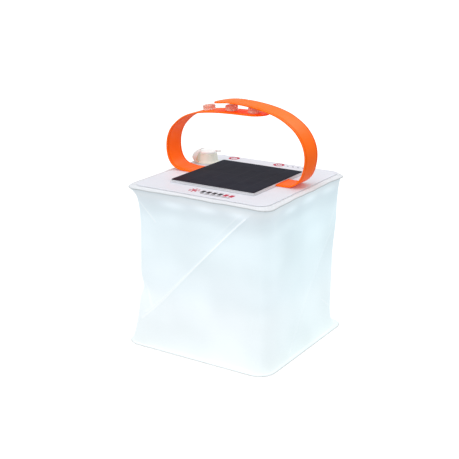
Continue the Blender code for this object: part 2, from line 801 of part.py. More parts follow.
def standoffs_and_screws(brass, steel):
    low = TRAY_LOW + TRAY_WALL + GAP
    bore = SCREW_RADIUS + GAP
    for number, (x, y) in enumerate(screw_places(), 1):
        place = Matrix.Translation((x, y, 0))
        sleeve = [(bore, low), (bore + STANDOFF_WALL, low),
                  (bore + STANDOFF_WALL, BOARD_LOW - GAP), (bore, BOARD_LOW - GAP)]
        turned(f"board_standoff_{number}", sleeve, brass, place, TINY_STEPS)
        head = BOARD_TOP + GAP
        top = head + SCREW_HEAD_THICK
        screw = [(0, low + GAP), (SCREW_RADIUS, low + GAP), (SCREW_RADIUS, head),
                 (SCREW_HEAD, head), (SCREW_HEAD, top), (0, top)]
        turned(f"board_screw_{number}", screw, steel, place, TINY_STEPS)


def circuit_board(mask):
    outline = rounded_outline(*board_edges(), TRAY_CORNER - TRAY_WALL)
    board = plate("circuit_board", outline, BOARD_LOW, BOARD_TOP, mask)
    holes = [(x, y, SCREW_RADIUS + GAP, BOARD_LOW - GAP, BOARD_TOP + GAP) for x, y in screw_places()]
    cut(board, cylinders("board_screw_cutter", holes))


def battery(wrap):
    length, width, thick = BATTERY
    x, y = BATTERY_CENTRE
    high = BOARD_LOW - GAP
    edges = (x - length / 2, x + length / 2, y - width / 2, y + width / 2)
    outline = rounded_outline(*edges, BATTERY_CORNER)
    plate("battery", outline, high - thick, high, wrap)


def main_lights(lit):
    """Chips along the board's four edges, under the board."""
    x_low, x_high, y_low, y_high = board_edges()
    middle_x, middle_y = (x_low + x_high) / 2, (y_low + y_high) / 2
    half_x = (x_high - x_low) / 2 - MAIN_LED_INSET
    half_y = (y_high - y_low) / 2 - MAIN_LED_INSET
    places = [(middle_x + half_x * s, middle_y + half_y * side)
              for side in (-1, 1) for s in MAIN_LED_STATIONS]
    places += [(middle_x + half_x * side, middle_y) for side in (-1, 1)]
    high = BOARD_LOW - GAP
    half = MAIN_LED / 2
    for number, (x, y) in enumerate(places, 1):
        outline = rounded_outline(x - half, x + half, y - half, y + half, CHIP_CORNER, 2)
        plate(f"main_led_{number:02d}", outline, high - MAIN_LED_THICK, high, lit)


def switch_and_button(title, place, plastic, black):
    x, y = place
    half = SWITCH_SIDE / 2
    low = BOARD_TOP + GAP
    outline = rounded_outline(x - half, x + half, y - half, y + half, CHIP_CORNER, 2)
    plate(f"{title}_switch", outline, low, low + SWITCH_HEIGHT, black)
    top = HEIGHT + BUTTON_PROUD
    flange_top = SHEET_LOW - GAP
    stem_low = low + SWITCH_HEIGHT + BUTTON_TRAVEL + GAP
    flange_low = flange_top - BUTTON_FLANGE_THICK
    profile = [
        (0, stem_low), (BUTTON_STEM, stem_low), (BUTTON_STEM, flange_low),
        (BUTTON_FLANGE, flange_low), (BUTTON_FLANGE, flange_top),
        (BUTTON_RADIUS, flange_top), (BUTTON_RADIUS, top - BUTTON_BEVEL),
        (BUTTON_RADIUS - 2 * BUTTON_BEVEL, top), (0, top),
    ]
    turned(f"{title}_button", profile, plastic, Matrix.Translation((x, y, 0)), SMALL_STEPS + 8,
           (x, y, top))


def indicators(lens):
    for number, (x, y) in enumerate(indicator_places(), 1):
        profile = disc_profile(INDICATOR_RADIUS, BOARD_TOP + GAP, HEIGHT + 0.0001)
        turned(f"level_indicator_{number}", profile, lens, Matrix.Translation((x, y, 0)), TINY_STEPS)


def main():
    clear_scene()
    film = material("frosted_film", (0.86, 0.91, 0.95), 0.42, alpha=0.7)
    printed = material("white_print", (0.90, 0.90, 0.94), 0.45)
    laminate = material("white_laminate", (0.80, 0.81, 0.83), 0.5)
    cells = material("solar_cells", (0.040, 0.040, 0.052), 0.28)
    foam = material("pad_foam", (0.85, 0.85, 0.85), 0.9)
    strap = material("orange_strap", (0.95, 0.22, 0.03), 0.45)
    clear_plastic = material("clear_plastic", (0.90, 0.90, 0.92), 0.2, alpha=0.6)
    rubber = material("valve_rubber", (0.82, 0.82, 0.84), 0.6)
    mask = material("circuit_board", (0.85, 0.87, 0.86), 0.5)
    wrap = material("battery_wrap", (0.10, 0.22, 0.50), 0.4)
    brass = material("standoff_brass", (0.80, 0.62, 0.30), 0.35, 1.0)
    steel = material("screw_steel", (0.60, 0.61, 0.63), 0.3, 1.0)
    lit = material("led_chip", (1.0, 0.98, 0.90), 0.3)
    button = material("button_white", (0.90, 0.90, 0.93), 0.4)
    black = material("switch_black", (0.03, 0.03, 0.03), 0.5)
    lens = material("indicator_lens", (0.75, 0.10, 0.10), 0.2)
    red_lead = material("lead_red", (0.70, 0.05, 0.05), 0.5)
    black_lead = material("lead_black", (0.03, 0.03, 0.03), 0.5)

    film_body(film)
    top_sheets(film, printed)
    solar_panel(laminate, cells, foam)
    panel_leads((red_lead, black_lead))
    lower, upper = straps(strap)
    snaps(lower, upper, clear_plastic)
    valve_body(clear_plastic)
    valve_flap(rubber)
    valve_cap(clear_plastic)
    tray(clear_plastic)
    circuit_board(mask)
    standoffs_and_screws(brass, steel)
    battery(wrap)
    main_lights(lit)
    switch_and_button("power", POWER_BUTTON, button, black)
    switch_and_button("level", LEVEL_BUTTON, button, black)
    indicators(lens)


main()
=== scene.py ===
"""Looks of an inflatable solar lantern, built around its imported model."""

import json
import math

import bmesh
import bpy
import numpy as np
from mathutils import Matrix, Quaternion, Vector


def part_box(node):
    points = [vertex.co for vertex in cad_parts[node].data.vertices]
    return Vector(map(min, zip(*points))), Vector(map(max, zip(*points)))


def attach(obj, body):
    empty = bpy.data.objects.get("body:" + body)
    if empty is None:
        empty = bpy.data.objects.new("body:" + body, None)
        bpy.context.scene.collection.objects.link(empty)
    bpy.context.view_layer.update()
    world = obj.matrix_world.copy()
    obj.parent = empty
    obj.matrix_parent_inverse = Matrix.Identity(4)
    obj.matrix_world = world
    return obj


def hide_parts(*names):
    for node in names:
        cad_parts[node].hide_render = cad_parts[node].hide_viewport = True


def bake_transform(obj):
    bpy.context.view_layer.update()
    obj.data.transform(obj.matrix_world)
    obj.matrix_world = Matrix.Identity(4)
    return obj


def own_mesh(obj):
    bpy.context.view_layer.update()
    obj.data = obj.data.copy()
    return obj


bl_info = {
    "name": "Inflatable Solar Lantern",
    "version": (1, 0, 0),
    "blender": (4, 5, 0),
    "location": "3D View > Sidebar > Lantern",
    "description": "Builds the film body, solar top, strap and valve of a fold-flat lantern",
    "category": "Add Mesh",
}

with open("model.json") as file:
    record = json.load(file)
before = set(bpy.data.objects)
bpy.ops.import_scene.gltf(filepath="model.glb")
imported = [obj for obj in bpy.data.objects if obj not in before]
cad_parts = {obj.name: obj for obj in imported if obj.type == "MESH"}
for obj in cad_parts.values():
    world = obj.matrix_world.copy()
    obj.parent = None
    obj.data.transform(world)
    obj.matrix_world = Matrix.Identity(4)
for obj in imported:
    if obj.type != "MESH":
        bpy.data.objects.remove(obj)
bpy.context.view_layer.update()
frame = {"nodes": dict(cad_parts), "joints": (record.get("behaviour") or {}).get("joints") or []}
JOINTS = {joint["name"]: joint for joint in frame["joints"]}

TOP_LOW, TOP_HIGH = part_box("top_sheet")
PRINT_LOW, PRINT_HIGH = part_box("printed_face")
WALL_LOW, WALL_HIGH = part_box("side_wall")
BASE_LOW, BASE_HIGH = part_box("bottom_sheet")
CELL_LOW, CELL_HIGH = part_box("solar_cell_sheet")
BAND_LOW, BAND_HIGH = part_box("strap_band")
LAP_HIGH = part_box("strap_lower_end")[1]
CROWN_LOW, CROWN_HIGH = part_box("strap_upper_end")
VALVE_LOW, VALVE_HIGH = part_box("valve_body")
TOP = PRINT_HIGH.z      # heights on the top are measured from the printed face


# Settings -------------------------------------------------------------------


def colour_setting(name, description, default):
    return bpy.props.FloatVectorProperty(
        name=name, description=description, subtype="COLOR", size=3, min=0, max=1, default=default,
    )


class LanternFilmSettings(bpy.types.PropertyGroup):
    """Film body."""

    tint: colour_setting("Film tint", "Colour of the frosted film", (0.30, 0.325, 0.34))
    rim_tint: colour_setting("Rim tint", "Colour of the welded rims", (0.71, 0.735, 0.77))
    glow: bpy.props.FloatProperty(
        name="Glow", description="Brightness of the light inside, as seen on the wall",
        default=0.76, min=0,
    )
    fold_depth: bpy.props.FloatProperty(
        name="Fold depth", description="How far the slanted fold stands proud",
        default=0.0016, min=0, unit="LENGTH",
    )
    thickness: bpy.props.FloatProperty(
        name="Film thickness", description="Thickness of the side film",
        default=0.0004, min=0.0001, unit="LENGTH",
    )


class LanternTopSettings(bpy.types.PropertyGroup):
    """Printed face and solar panel."""

    print_colour: colour_setting(
        "Print colour", "Ground colour of the printed face", (0.73, 0.755, 0.82),
    )
    mark_colour: colour_setting(
        "Mark colour", "Colour of the rings round the buttons", (0.52, 0.016, 0.060),
    )
    cell_colour: colour_setting(
        "Cell colour", "Colour of the solar cells", (0.012, 0.0135, 0.025),
    )


class LanternStrapSettings(bpy.types.PropertyGroup):
    """Carrying strap."""

    colour: colour_setting("Strap colour", "Colour of the coated webbing", (0.95, 0.19, 0.003))
    corner: bpy.props.FloatProperty(
        name="Edge rounding", description="Rounding of the strap's long edges",
        default=0.00045, min=0.0001, unit="LENGTH",
    )


class LanternStageSettings(bpy.types.PropertyGroup):
    """Camera and light."""

    azimuth: bpy.props.FloatProperty(
        name="Azimuth", description="Camera direction round the lantern",
        default=math.radians(32.12), subtype="ANGLE", unit="ROTATION",
    )
    elevation: bpy.props.FloatProperty(
        name="Elevation", description="Camera height above the horizon",
        default=math.radians(17.56), subtype="ANGLE", unit="ROTATION",
    )
    roll: bpy.props.FloatProperty(
        name="Roll", description="Camera roll",
        default=math.radians(0.15), subtype="ANGLE", unit="ROTATION",
    )
    distance: bpy.props.FloatProperty(
        name="Distance", description="Camera to the point it looks at",
        default=0.97511, unit="LENGTH",
    )
    aim: bpy.props.FloatVectorProperty(
        name="Aim", description="Point that the camera looks at",
        subtype="TRANSLATION", size=3, default=(0.0, -0.01519, 0.11353),
    )
    lens: bpy.props.FloatProperty(
        name="Lens", description="Focal length in millimetres on a 36 mm sensor", default=78.19,
    )


# Nodes ----------------------------------------------------------------------


class Wiring:
    """Adds nodes to one tree; an input may be a socket, a number or a colour."""

    def __init__(self, tree):
        self.tree = tree

    def feed(self, socket, value):
        if isinstance(value, bpy.types.NodeSocket):
            self.tree.links.new(value, socket)
        elif value is not None:
            if socket.type == "RGBA" and len(value) == 3:
                value = (*value, 1.0)
            socket.default_value = value

    def node(self, kind, *values, **settings):
        made = self.tree.nodes.new(kind)
        for name, value in settings.items():
            setattr(made, name, value)
        for socket, value in zip(made.inputs, values):
            self.feed(socket, value)
        return made

    def math(self, operation, *values):
        return self.node("ShaderNodeMath", *values, operation=operation).outputs[0]

    def vector(self, operation, *values):
        return self.node("ShaderNodeVectorMath", *values, operation=operation).outputs

    def clamp(self, value):
        return self.node("ShaderNodeClamp", value).outputs[0]

    def remap(self, value, low, high, to_low=0.0, to_high=1.0, smooth=True):
        made = self.node("ShaderNodeMapRange", value, low, high, to_low, to_high)
        if smooth:
            made.interpolation_type = "SMOOTHSTEP"
        return made.outputs[0]

    def ramp(self, factor, stops):
        """Colour by factor through (position, colour) stops."""
        made = self.node("ShaderNodeValToRGB", factor)
        band = made.color_ramp
        band.interpolation = "EASE"
        while len(band.elements) < len(stops):
            band.elements.new(1.0)
        for element, (position, colour) in zip(band.elements, stops):
            element.position = position
            element.color = (*colour, 1.0)
        return made.outputs[0]

    def mix(self, factor, first, second):
        made = self.tree.nodes.new("ShaderNodeMix")
        made.data_type = "RGBA"
        self.feed(made.inputs[0], factor)
        self.feed(made.inputs[6], first)
        self.feed(made.inputs[7], second)
        return made.outputs[2]

    def noise(self, vector, scale, detail=3.0, roughness=0.5):
        made = self.tree.nodes.new("ShaderNodeTexNoise")
        self.feed(made.inputs["Vector"], vector)
        self.feed(made.inputs["Scale"], scale)
        self.feed(made.inputs["Detail"], detail)
        self.feed(made.inputs["Roughness"], roughness)
        return made.outputs["Fac"]

    def place(self):
        return self.tree.nodes.new("ShaderNodeTexCoord").outputs["Object"]

    def uv(self, name):
        made = self.tree.nodes.new("ShaderNodeUVMap")
        made.uv_map = name
        return made.outputs[0]

    def split(self, vector):
        return self.node("ShaderNodeSeparateXYZ", vector).outputs

    def group(self, group, **values):
        made = self.tree.nodes.new("ShaderNodeGroup")
        made.node_tree = group
        for name, value in values.items():
            self.feed(made.inputs[name.replace("_", " ").capitalize()], value)
        return made.outputs

    def bump(self, height, distance, strength=1.0):
        made = self.tree.nodes.new("ShaderNodeBump")
        self.feed(made.inputs["Strength"], strength)
        self.feed(made.inputs["Distance"], distance)
        self.feed(made.inputs["Height"], height)
        return made.outputs[0]


def new_group(name, inputs, outputs):
    """A shader node group with named sockets; returns the group, its wiring, inputs and output."""
    group = bpy.data.node_groups.new(name, "ShaderNodeTree")
    for label, kind, default in inputs:
        socket = group.interface.new_socket(label, in_out="INPUT", socket_type=kind)
        if default is not None:
            socket.default_value = default
    for label, kind in outputs:
        group.interface.new_socket(label, in_out="OUTPUT", socket_type=kind)
    entry = group.nodes.new("NodeGroupInput")
    result = group.nodes.new("NodeGroupOutput")
    return group, Wiring(group), entry.outputs, result.inputs


def once(maker):
    """Builds a node group the first time it is asked for."""
    made = {}

    def give():
        if "group" not in made:
            made["group"] = maker()
        return made["group"]

    return give


@once
def grain_group():
    """Moulded or calendered grain: a fine height and a slow tone drift."""
    group, wire, given, result = new_group(
        "Fine grain",
        [("Scale", "NodeSocketFloat", 1200.0), ("Drift scale", "NodeSocketFloat", 25.0)],
        [("Height", "NodeSocketFloat"), ("Drift", "NodeSocketFloat")],
    )
    place = wire.place()
    wire.feed(result["Height"], wire.noise(place, given["Scale"], 4.0))
    wire.feed(result["Drift"], wire.noise(place, given["Drift scale"], 2.0))
    return group


@once
def handling_group():
    """Light handling marks: fine scratches and rubbed patches that change the gloss."""
    group, wire, given, result = new_group(
        "Handling marks",
        [("Amount", "NodeSocketFloat", 0.1), ("Base", "NodeSocketFloat", 0.4)],
        [("Roughness", "NodeSocketFloat"), ("Mask", "NodeSocketFloat")],
    )
    place = wire.place()
    patches = wire.remap(wire.noise(place, 60.0, 5.0, 0.6), 0.45, 0.7)
    stretched = wire.vector("MULTIPLY", place, (1.0, 14.0, 3.0))
    lines = wire.remap(wire.noise(stretched[0], 420.0, 2.0), 0.62, 0.7)
    mask = wire.clamp(wire.math("ADD", patches, wire.math("MULTIPLY", lines, 0.4)))
    wire.feed(result["Mask"], mask)
    spread = wire.math("MULTIPLY", mask, given["Amount"])
    wire.feed(result["Roughness"], wire.math("ADD", given["Base"], spread))
    return group


@once
def ring_group():
    """Mask of a flat ring round a point of the top."""
    group, wire, given, result = new_group(
        "Ring mark",
        [("Centre x", "NodeSocketFloat", 0.0), ("Centre y", "NodeSocketFloat", 0.0),
         ("Radius", "NodeSocketFloat", 0.004), ("Half width", "NodeSocketFloat", 0.0005)],
        [("Mask", "NodeSocketFloat"), ("Distance", "NodeSocketFloat")],
    )
    x, y, _ = wire.split(wire.place())
    across = wire.math("SUBTRACT", x, given["Centre x"])
    along = wire.math("SUBTRACT", y, given["Centre y"])
    squares = wire.math("ADD", wire.math("MULTIPLY", across, across),
                        wire.math("MULTIPLY", along, along))
    distance = wire.math("SQRT", squares)
    off = wire.math("ABSOLUTE", wire.math("SUBTRACT", distance, given["Radius"]))
    soft = wire.math("ADD", given["Half width"], 0.00015)
    wire.feed(result["Mask"], wire.remap(off, given["Half width"], soft, 1.0, 0.0, False))
    wire.feed(result["Distance"], distance)
    return group


@once
def bar_group():
    """Mask of an upright rectangle on the top."""
    group, wire, given, result = new_group(
        "Bar mark",
        [("Centre x", "NodeSocketFloat", 0.0), ("Centre y", "NodeSocketFloat", 0.0),
         ("Half x", "NodeSocketFloat", 0.002), ("Half y", "NodeSocketFloat", 0.002)],
        [("Mask", "NodeSocketFloat")],
    )
    x, y, _ = wire.split(wire.place())
    masks = []
    for value, centre, half in ((x, "Centre x", "Half x"), (y, "Centre y", "Half y")):
        off = wire.math("ABSOLUTE", wire.math("SUBTRACT", value, given[centre]))
        beyond = wire.math("SUBTRACT", off, given[half])
        masks.append(wire.remap(beyond, -0.0001, 0.0002, 1.0, 0.0))
    wire.feed(result["Mask"], wire.math("MULTIPLY", *masks))
    return group


# Colour of the light through the film by height, foot to head
GLOW_BY_HEIGHT = (
    (0, (0.882, 0.948, 0.948)), (0.09, (0.886, 0.957, 0.981)),
    (0.26, (0.896, 0.967, 1.000)), (0.45, (0.829, 0.924, 0.972)),
    (0.63, (0.793, 0.903, 0.951)), (0.79, (0.764, 0.880, 0.936)),
    (0.885, (0.684, 0.786, 0.842)), (0.93, (0.678, 0.758, 0.815)),
    (0.965, (0.711, 0.768, 0.810)), (1, (0.616, 0.682, 0.730)),
)
# Painted shade: the glow is a little dimmer and cooler on the faces turned away from the front
RIGHT_SIDE_SHADE = (0.93, 0.99, 0.995)
# Brighter patches next to the light chips: place along a face, height, half sizes, strength
LIT_SPOTS = (
    (0.320, 0.925, 0.085, 0.022, 0.50), (0.570, 0.935, 0.085, 0.022, 0.50),
    (0.810, 0.940, 0.070, 0.022, 0.40), (0.300, 0.845, 0.12, 0.040, 0.20),
    (0.575, 0.845, 0.12, 0.040, 0.20), (0.66, 0.72, 0.16, 0.09, 0.18),
)


@once
def glow_group():
    """Light inside the film, from the film's own map: across counts faces, up runs 0 to 1."""
    group, wire, given, result = new_group(
        "Inner glow",
        [("Map", "NodeSocketVector", None), ("Strength", "NodeSocketFloat", 0.5),
         ("Spots", "NodeSocketFloat", 0.3)],
        [("Colour", "NodeSocketColor"), ("Level", "NodeSocketFloat")],
    )
    across, up, _ = wire.split(given["Map"])
    face = wire.math("FRACT", across)
    colour = wire.ramp(up, GLOW_BY_HEIGHT)
    # Painted shade: from the front's right end into the right face and beyond, the glow dims and cools
    shaded_side = wire.vector("MULTIPLY", colour, RIGHT_SIDE_SHADE)
    round_side = wire.remap(across, 0.75, 1.5, 0.0, 1.0)
    colour = wire.mix(round_side, colour, shaded_side[0])
    clouds = wire.remap(wire.noise(given["Map"], 2.1, 2.0, 0.45), 0.3, 0.7, 0.94, 1.05)
    spots = None
    for place, height, wide, tall, share in LIT_SPOTS:
        dx = wire.math("DIVIDE", wire.math("SUBTRACT", face, place), wide)
        dy = wire.math("DIVIDE", wire.math("SUBTRACT", up, height), tall)
        reach = wire.math("ADD", wire.math("MULTIPLY", dx, dx), wire.math("MULTIPLY", dy, dy))
        spot = wire.math("EXPONENT", wire.math("MULTIPLY", reach, -1.0))
        spot = wire.math("MULTIPLY", spot, share)
        spots = spot if spots is None else wire.math("ADD", spots, spot)
    level = wire.math("ADD", clouds, wire.math("MULTIPLY", spots, given["Spots"]))
    level = wire.math("MULTIPLY", level, given["Strength"])
    scaled = wire.vector("SCALE", colour, None, None, level)
    wire.feed(result["Colour"], scaled[0])
    wire.feed(result["Level"], level)
    return group


@once
def crease_group():
    """Mask of a straight crease in the film's map, both ends given in metres along the wall."""
    group, wire, given, result = new_group(
        "Crease line",
        [("Map", "NodeSocketVector", None), ("Start", "NodeSocketVector", None),
         ("Run", "NodeSocketVector", None), ("Half width", "NodeSocketFloat", 0.001)],
        [("Mask", "NodeSocketFloat"), ("Distance", "NodeSocketFloat")],
    )
    scale = (FACE_WIDE, WALL_HIGH.z - WALL_LOW.z, 0.0)
    here = wire.vector("MULTIPLY", given["Map"], scale)[0]
    offset = wire.vector("SUBTRACT", here, given["Start"])[0]
    along = wire.vector("DOT_PRODUCT", offset, given["Run"])
    square = wire.vector("DOT_PRODUCT", given["Run"], given["Run"])
    share = wire.clamp(wire.math("DIVIDE", along["Value"], square["Value"]))
    foot = wire.vector("SCALE", given["Run"], None, None, share)
    away = wire.vector("DISTANCE", offset, foot[0])
    distance = away["Value"]
    wire.feed(result["Mask"], wire.remap(distance, 0.0, given["Half width"], 1.0, 0.0))
    wire.feed(result["Distance"], distance)
    return group


def film_creases():
    """Start, run, half width and weight of every crease line, in metres round the wall."""
    lines = []
    for face, (middle, slope, share) in enumerate(FOLDS):
        low, high = FOLD_LEFT, min(FOLD_RIGHT, (FOLD_TOP - middle) / slope)
        start, end = (low, middle + slope * low), (high, middle + slope * high)
        lines.append((face, start, end, FOLD_LINE, share * share))
    for face, start, end, depth in CREASES:
        lines.append((face, start, end, CREASE_LINE, depth / DEEPEST_CREASE))
    made = []
    for face, start, end, half_width, weight in lines:
        left = (face + 0.5) * FACE_WIDE
        base = WALL_LOW.z
        run = (end[0] - start[0], end[1] - start[1], 0.0)
        made.append(((left + start[0], start[1] - base, 0.0), run, half_width, weight))
    return made


@once
def webbing_group():
    """Coated webbing: a fine rib across the strap and a close weave under the coating."""
    group, wire, given, result = new_group(
        "Coated webbing",
        [("Map", "NodeSocketVector", None), ("Rib pitch", "NodeSocketFloat", 0.0011)],
        [("Height", "NodeSocketFloat"), ("Tone", "NodeSocketFloat")],
    )
    across, length, _ = wire.split(given["Map"])
    ribs = wire.math("SINE", wire.math("DIVIDE", wire.math("MULTIPLY", length, math.tau),
                                       given["Rib pitch"]))
    warp = wire.math("SINE", wire.math("DIVIDE", wire.math("MULTIPLY", across, math.tau), 0.0016))
    weave = wire.math("MULTIPLY", ribs, warp)
    speck = wire.noise(given["Map"], 900.0, 3.0)
    height = wire.math("ADD", wire.math("MULTIPLY", weave, 0.35), speck)
    wire.feed(result["Height"], height)
    wire.feed(result["Tone"], wire.noise(given["Map"], 45.0, 3.0, 0.6))
    return group


# Materials ------------------------------------------------------------------


def material(name, paint, **constants):
    """A Principled material: constants go on its sockets and paint wires what varies."""
    made = bpy.data.materials.new(name)
    made.use_nodes = True
    shader = made.node_tree.nodes["Principled BSDF"]
    for label, value in constants.items():
        socket = shader.inputs[label.replace("_", " ")]
        socket.default_value = value
    paint(Wiring(made.node_tree), shader.inputs)
    return made


def finish(wire, socket, roughness, wear, height, depth, strength):
    """Handling marks in the gloss, and a height as fine relief."""
    marks = wire.group(handling_group(), base=roughness, amount=wear)
    wire.feed(socket["Roughness"], marks["Roughness"])
    wire.feed(socket["Normal"], wire.bump(height, depth, strength))


def toned(colour, share):
    """The colour made darker or paler, with no part past 1."""
    return tuple(min(1.0, share * part) for part in colour)


def film_material(name, tint, strength, spots, roughness=0.46):
    """Lit film: the light behind it by height, with painted highlights as paler lines on its folds and
    creases.
    """
    def paint(wire, socket):
        grain = wire.group(grain_group(), scale=700.0, drift_scale=14.0)
        place = wire.uv("Film")
        glow = wire.group(glow_group(), map=place, strength=strength, spots=spots)
        darker = toned(tint, 0.93)
        wire.feed(socket["Base Color"], wire.mix(grain["Drift"], darker, tint))
        # Painted highlight: the emission turns paler along the folds and creases
        crease = None
        for start, run, half_width, weight in film_creases():
            line = wire.group(crease_group(), map=place, start=start, run=run, half_width=half_width)
            mask = wire.math("MULTIPLY", line["Mask"], weight)
            crease = mask if crease is None else wire.math("MAXIMUM", crease, mask)
        lit = wire.mix(wire.math("MULTIPLY", crease, 0.30), glow["Colour"], (1.0, 1.0, 1.0))
        wire.feed(socket["Emission Color"], lit)
        finish(wire, socket, roughness, 0.10, grain["Height"], 0.00006, 0.5)

    return material(name, paint, Emission_Strength=1.0, IOR=1.45, Specular_IOR_Level=0.35)


def rim_material(name, tint, edge, tip_shade):
    """Welded film of the rims: a slow tone drift, and painted shade as a greyer outer edge and darker
    corner tips.
    """
    def paint(wire, socket):
        grain = wire.group(grain_group(), scale=700.0, drift_scale=30.0)
        along, out, _ = wire.split(wire.uv("Film"))
        darker = toned(tint, 0.95)
        colour = wire.mix(grain["Drift"], darker, tint)
        # Painted shade: the outer edge greyer and the corner tips darker still
        corner = wire.remap(wire.math("PINGPONG", along, 0.5), 0.0, 0.05, 1.0, 0.0)
        edge_and_tip_shade = wire.mix(corner, edge, tip_shade)
        wire.feed(socket["Base Color"], wire.mix(wire.remap(out, 0.992, 1.0), colour, edge_and_tip_shade))
        finish(wire, socket, 0.42, 0.12, grain["Height"], 0.00005, 0.5)

    # Painted light: a faint glow that lightens the rim film
    return material(name, paint, IOR=1.45, Specular_IOR_Level=0.30,
                    Emission_Color=(0.93, 0.96, 1.0, 1.0), Emission_Strength=0.06)


def moulded_material(name, colour, roughness, grain_depth=0.00004, metallic=0.0, **constants):
    """Plain moulded or machined finish with grain, tone drift and handling marks."""
    def paint(wire, socket):
        grain = wire.group(grain_group(), scale=1600.0, drift_scale=40.0)
        darker = toned(colour, 0.88)
        wire.feed(socket["Base Color"], wire.mix(grain["Drift"], darker, colour))
        finish(wire, socket, roughness, 0.12, grain["Height"], grain_depth, 0.6)

    return material(name, paint, Metallic=metallic, **constants)


SUN_PLACE = (0.0625, 0.0140)        # from the print's front left corner
BARS, BARS_START, BAR_PITCH = 6, 0.0100, 0.0062


def print_material(settings):
    """Printed film: ring marks round both buttons, and a plain sun with a row of level bars."""
    red, dark = tuple(settings.mark_colour), (0.022, 0.022, 0.030)
    ground = tuple(settings.print_colour)
    paler = toned(ground, 1.05)
    sun_x, sun_y = PRINT_LOW.x + SUN_PLACE[0], PRINT_LOW.y + SUN_PLACE[1]

    def paint(wire, socket):
        grain = wire.group(grain_group(), scale=900.0, drift_scale=18.0)
        colour = wire.mix(grain["Drift"], ground, paler)
        for node in BUTTONS:
            x, y = middle_of(node)
            ring = wire.group(ring_group(), centre_x=x, centre_y=y, radius=0.0045, half_width=0.0014)
            colour = wire.mix(ring["Mask"], colour, red)
        disc = wire.group(ring_group(), centre_x=sun_x, centre_y=sun_y, radius=0.0, half_width=0.0026)
        rays = wire.group(ring_group(), centre_x=sun_x, centre_y=sun_y, radius=0.0046,
                          half_width=0.0011)
        x, y, _ = wire.split(wire.place())
        angle = wire.math("ARCTAN2", wire.math("SUBTRACT", y, sun_y),
                          wire.math("SUBTRACT", x, sun_x))
        spokes = wire.remap(wire.math("COSINE", wire.math("MULTIPLY", angle, 8.0)), 0.0, 0.3)
        sun = wire.math("MAXIMUM", disc["Mask"], wire.math("MULTIPLY", rays["Mask"], spokes))
        colour = wire.mix(sun, colour, red)
        for number in range(BARS):
            bar = wire.group(bar_group(), centre_x=sun_x + BARS_START + BAR_PITCH * number,
                             centre_y=sun_y, half_x=0.0021, half_y=0.0036)
            colour = wire.mix(bar["Mask"], colour, dark if number < 4 else red)
        line = wire.group(bar_group(), centre_x=sun_x + 0.0265, centre_y=sun_y - 0.0062,
                          half_x=0.0160, half_y=0.0006)
        colour = wire.mix(line["Mask"], colour, dark)
        wire.feed(socket["Base Color"], colour)
        finish(wire, socket, 0.42, 0.12, grain["Height"], 0.00005, 0.5)

    return material("white_printed_film", paint, Specular_IOR_Level=0.30)


def button_material(settings, node):
    """Button membrane with a small ring printed on it."""
    red = tuple(settings.mark_colour)
    ground = tuple(settings.print_colour)
    x, y = middle_of(node)

    def paint(wire, socket):
        grain = wire.group(grain_group(), scale=1600.0, drift_scale=60.0)
        ring = wire.group(ring_group(), centre_x=x, centre_y=y, radius=0.0017, half_width=0.0004)
        paler = toned(ground, 1.05)
        colour = wire.mix(grain["Drift"], ground, paler)
        wire.feed(socket["Base Color"], wire.mix(ring["Mask"], colour, red))
        finish(wire, socket, 0.38, 0.12, grain["Height"], 0.00004, 0.5)

    return material(f"{node}_membrane", paint)


CELL_HALF_PITCH, ROW_HALF_PITCH, FINGER_PITCH = 0.0078, 0.0237, 0.0014


def cell_material(settings):
    """Dark laminated cells: close contact fingers and a faint grid between the cells."""
    def paint(wire, socket):
        grain = wire.group(grain_group(), scale=2200.0, drift_scale=16.0)
        x, y, _ = wire.split(wire.place())
        dark = tuple(settings.cell_colour)
        lighter = toned(dark, 1.08)
        colour = wire.mix(grain["Drift"], dark, lighter)
        columns = wire.math("PINGPONG", wire.math("SUBTRACT", x, CELL_LOW.x), CELL_HALF_PITCH)
        seam = wire.remap(columns, 0.0, 0.0004, 1.0, 0.0)
        rows = wire.math("PINGPONG", wire.math("SUBTRACT", y, CELL_LOW.y), ROW_HALF_PITCH)
        seam = wire.math("MAXIMUM", seam, wire.remap(rows, 0.0, 0.0004, 1.0, 0.0))
        colour = wire.mix(wire.math("MULTIPLY", seam, 0.22), colour, (0.10, 0.10, 0.12))
        fingers = wire.math("SINE", wire.math("MULTIPLY", y, math.tau / FINGER_PITCH))
        colour = wire.mix(wire.remap(fingers, 0.6, 1.0, 0.0, 0.03), colour, (0.14, 0.14, 0.16))
        wire.feed(socket["Base Color"], colour)
        finish(wire, socket, 0.50, 0.04, grain["Height"], 0.00003, 0.4)

    return material("solar_laminate", paint, Specular_IOR_Level=0.055)


def strap_material(settings):
    """Orange coated webbing, with painted shade as a darker line in the pressed groove along each edge,
    and a faint painted red glow.
    """
    def paint(wire, socket):
        web = wire.group(webbing_group(), map=wire.uv("Strap"), rib_pitch=0.0011)
        colour = tuple(settings.colour)
        deeper = (0.90 * colour[0], 0.80 * colour[1], 0.8 * colour[2])
        body = wire.mix(web["Tone"], deeper, colour)
        # Painted shade: a darker line in the pressed groove near each edge
        across, _, _ = wire.split(wire.uv("Strap"))
        edge = STRAP_WIDE / 2 - EDGE_LINE
        off = wire.math("SUBTRACT", wire.math("ABSOLUTE", across), edge)
        line = wire.remap(wire.math("ABSOLUTE", off), 0.0002, 0.0007, 0.75, 0.0)
        wire.feed(socket["Base Color"], wire.mix(line, body, (0.62, 0.055, 0.0)))
        finish(wire, socket, 0.40, 0.14, web["Height"], 0.00005, 0.55)

    # Painted light: a faint red glow, standing for light through the webbing
    return material("orange_coated_webbing", paint, Specular_IOR_Level=0.22,
                    Specular_Tint=(1.0, 0.55, 0.25, 1.0), Emission_Color=(1.0, 0.03, 0.0, 1.0),
                    Emission_Strength=0.26)


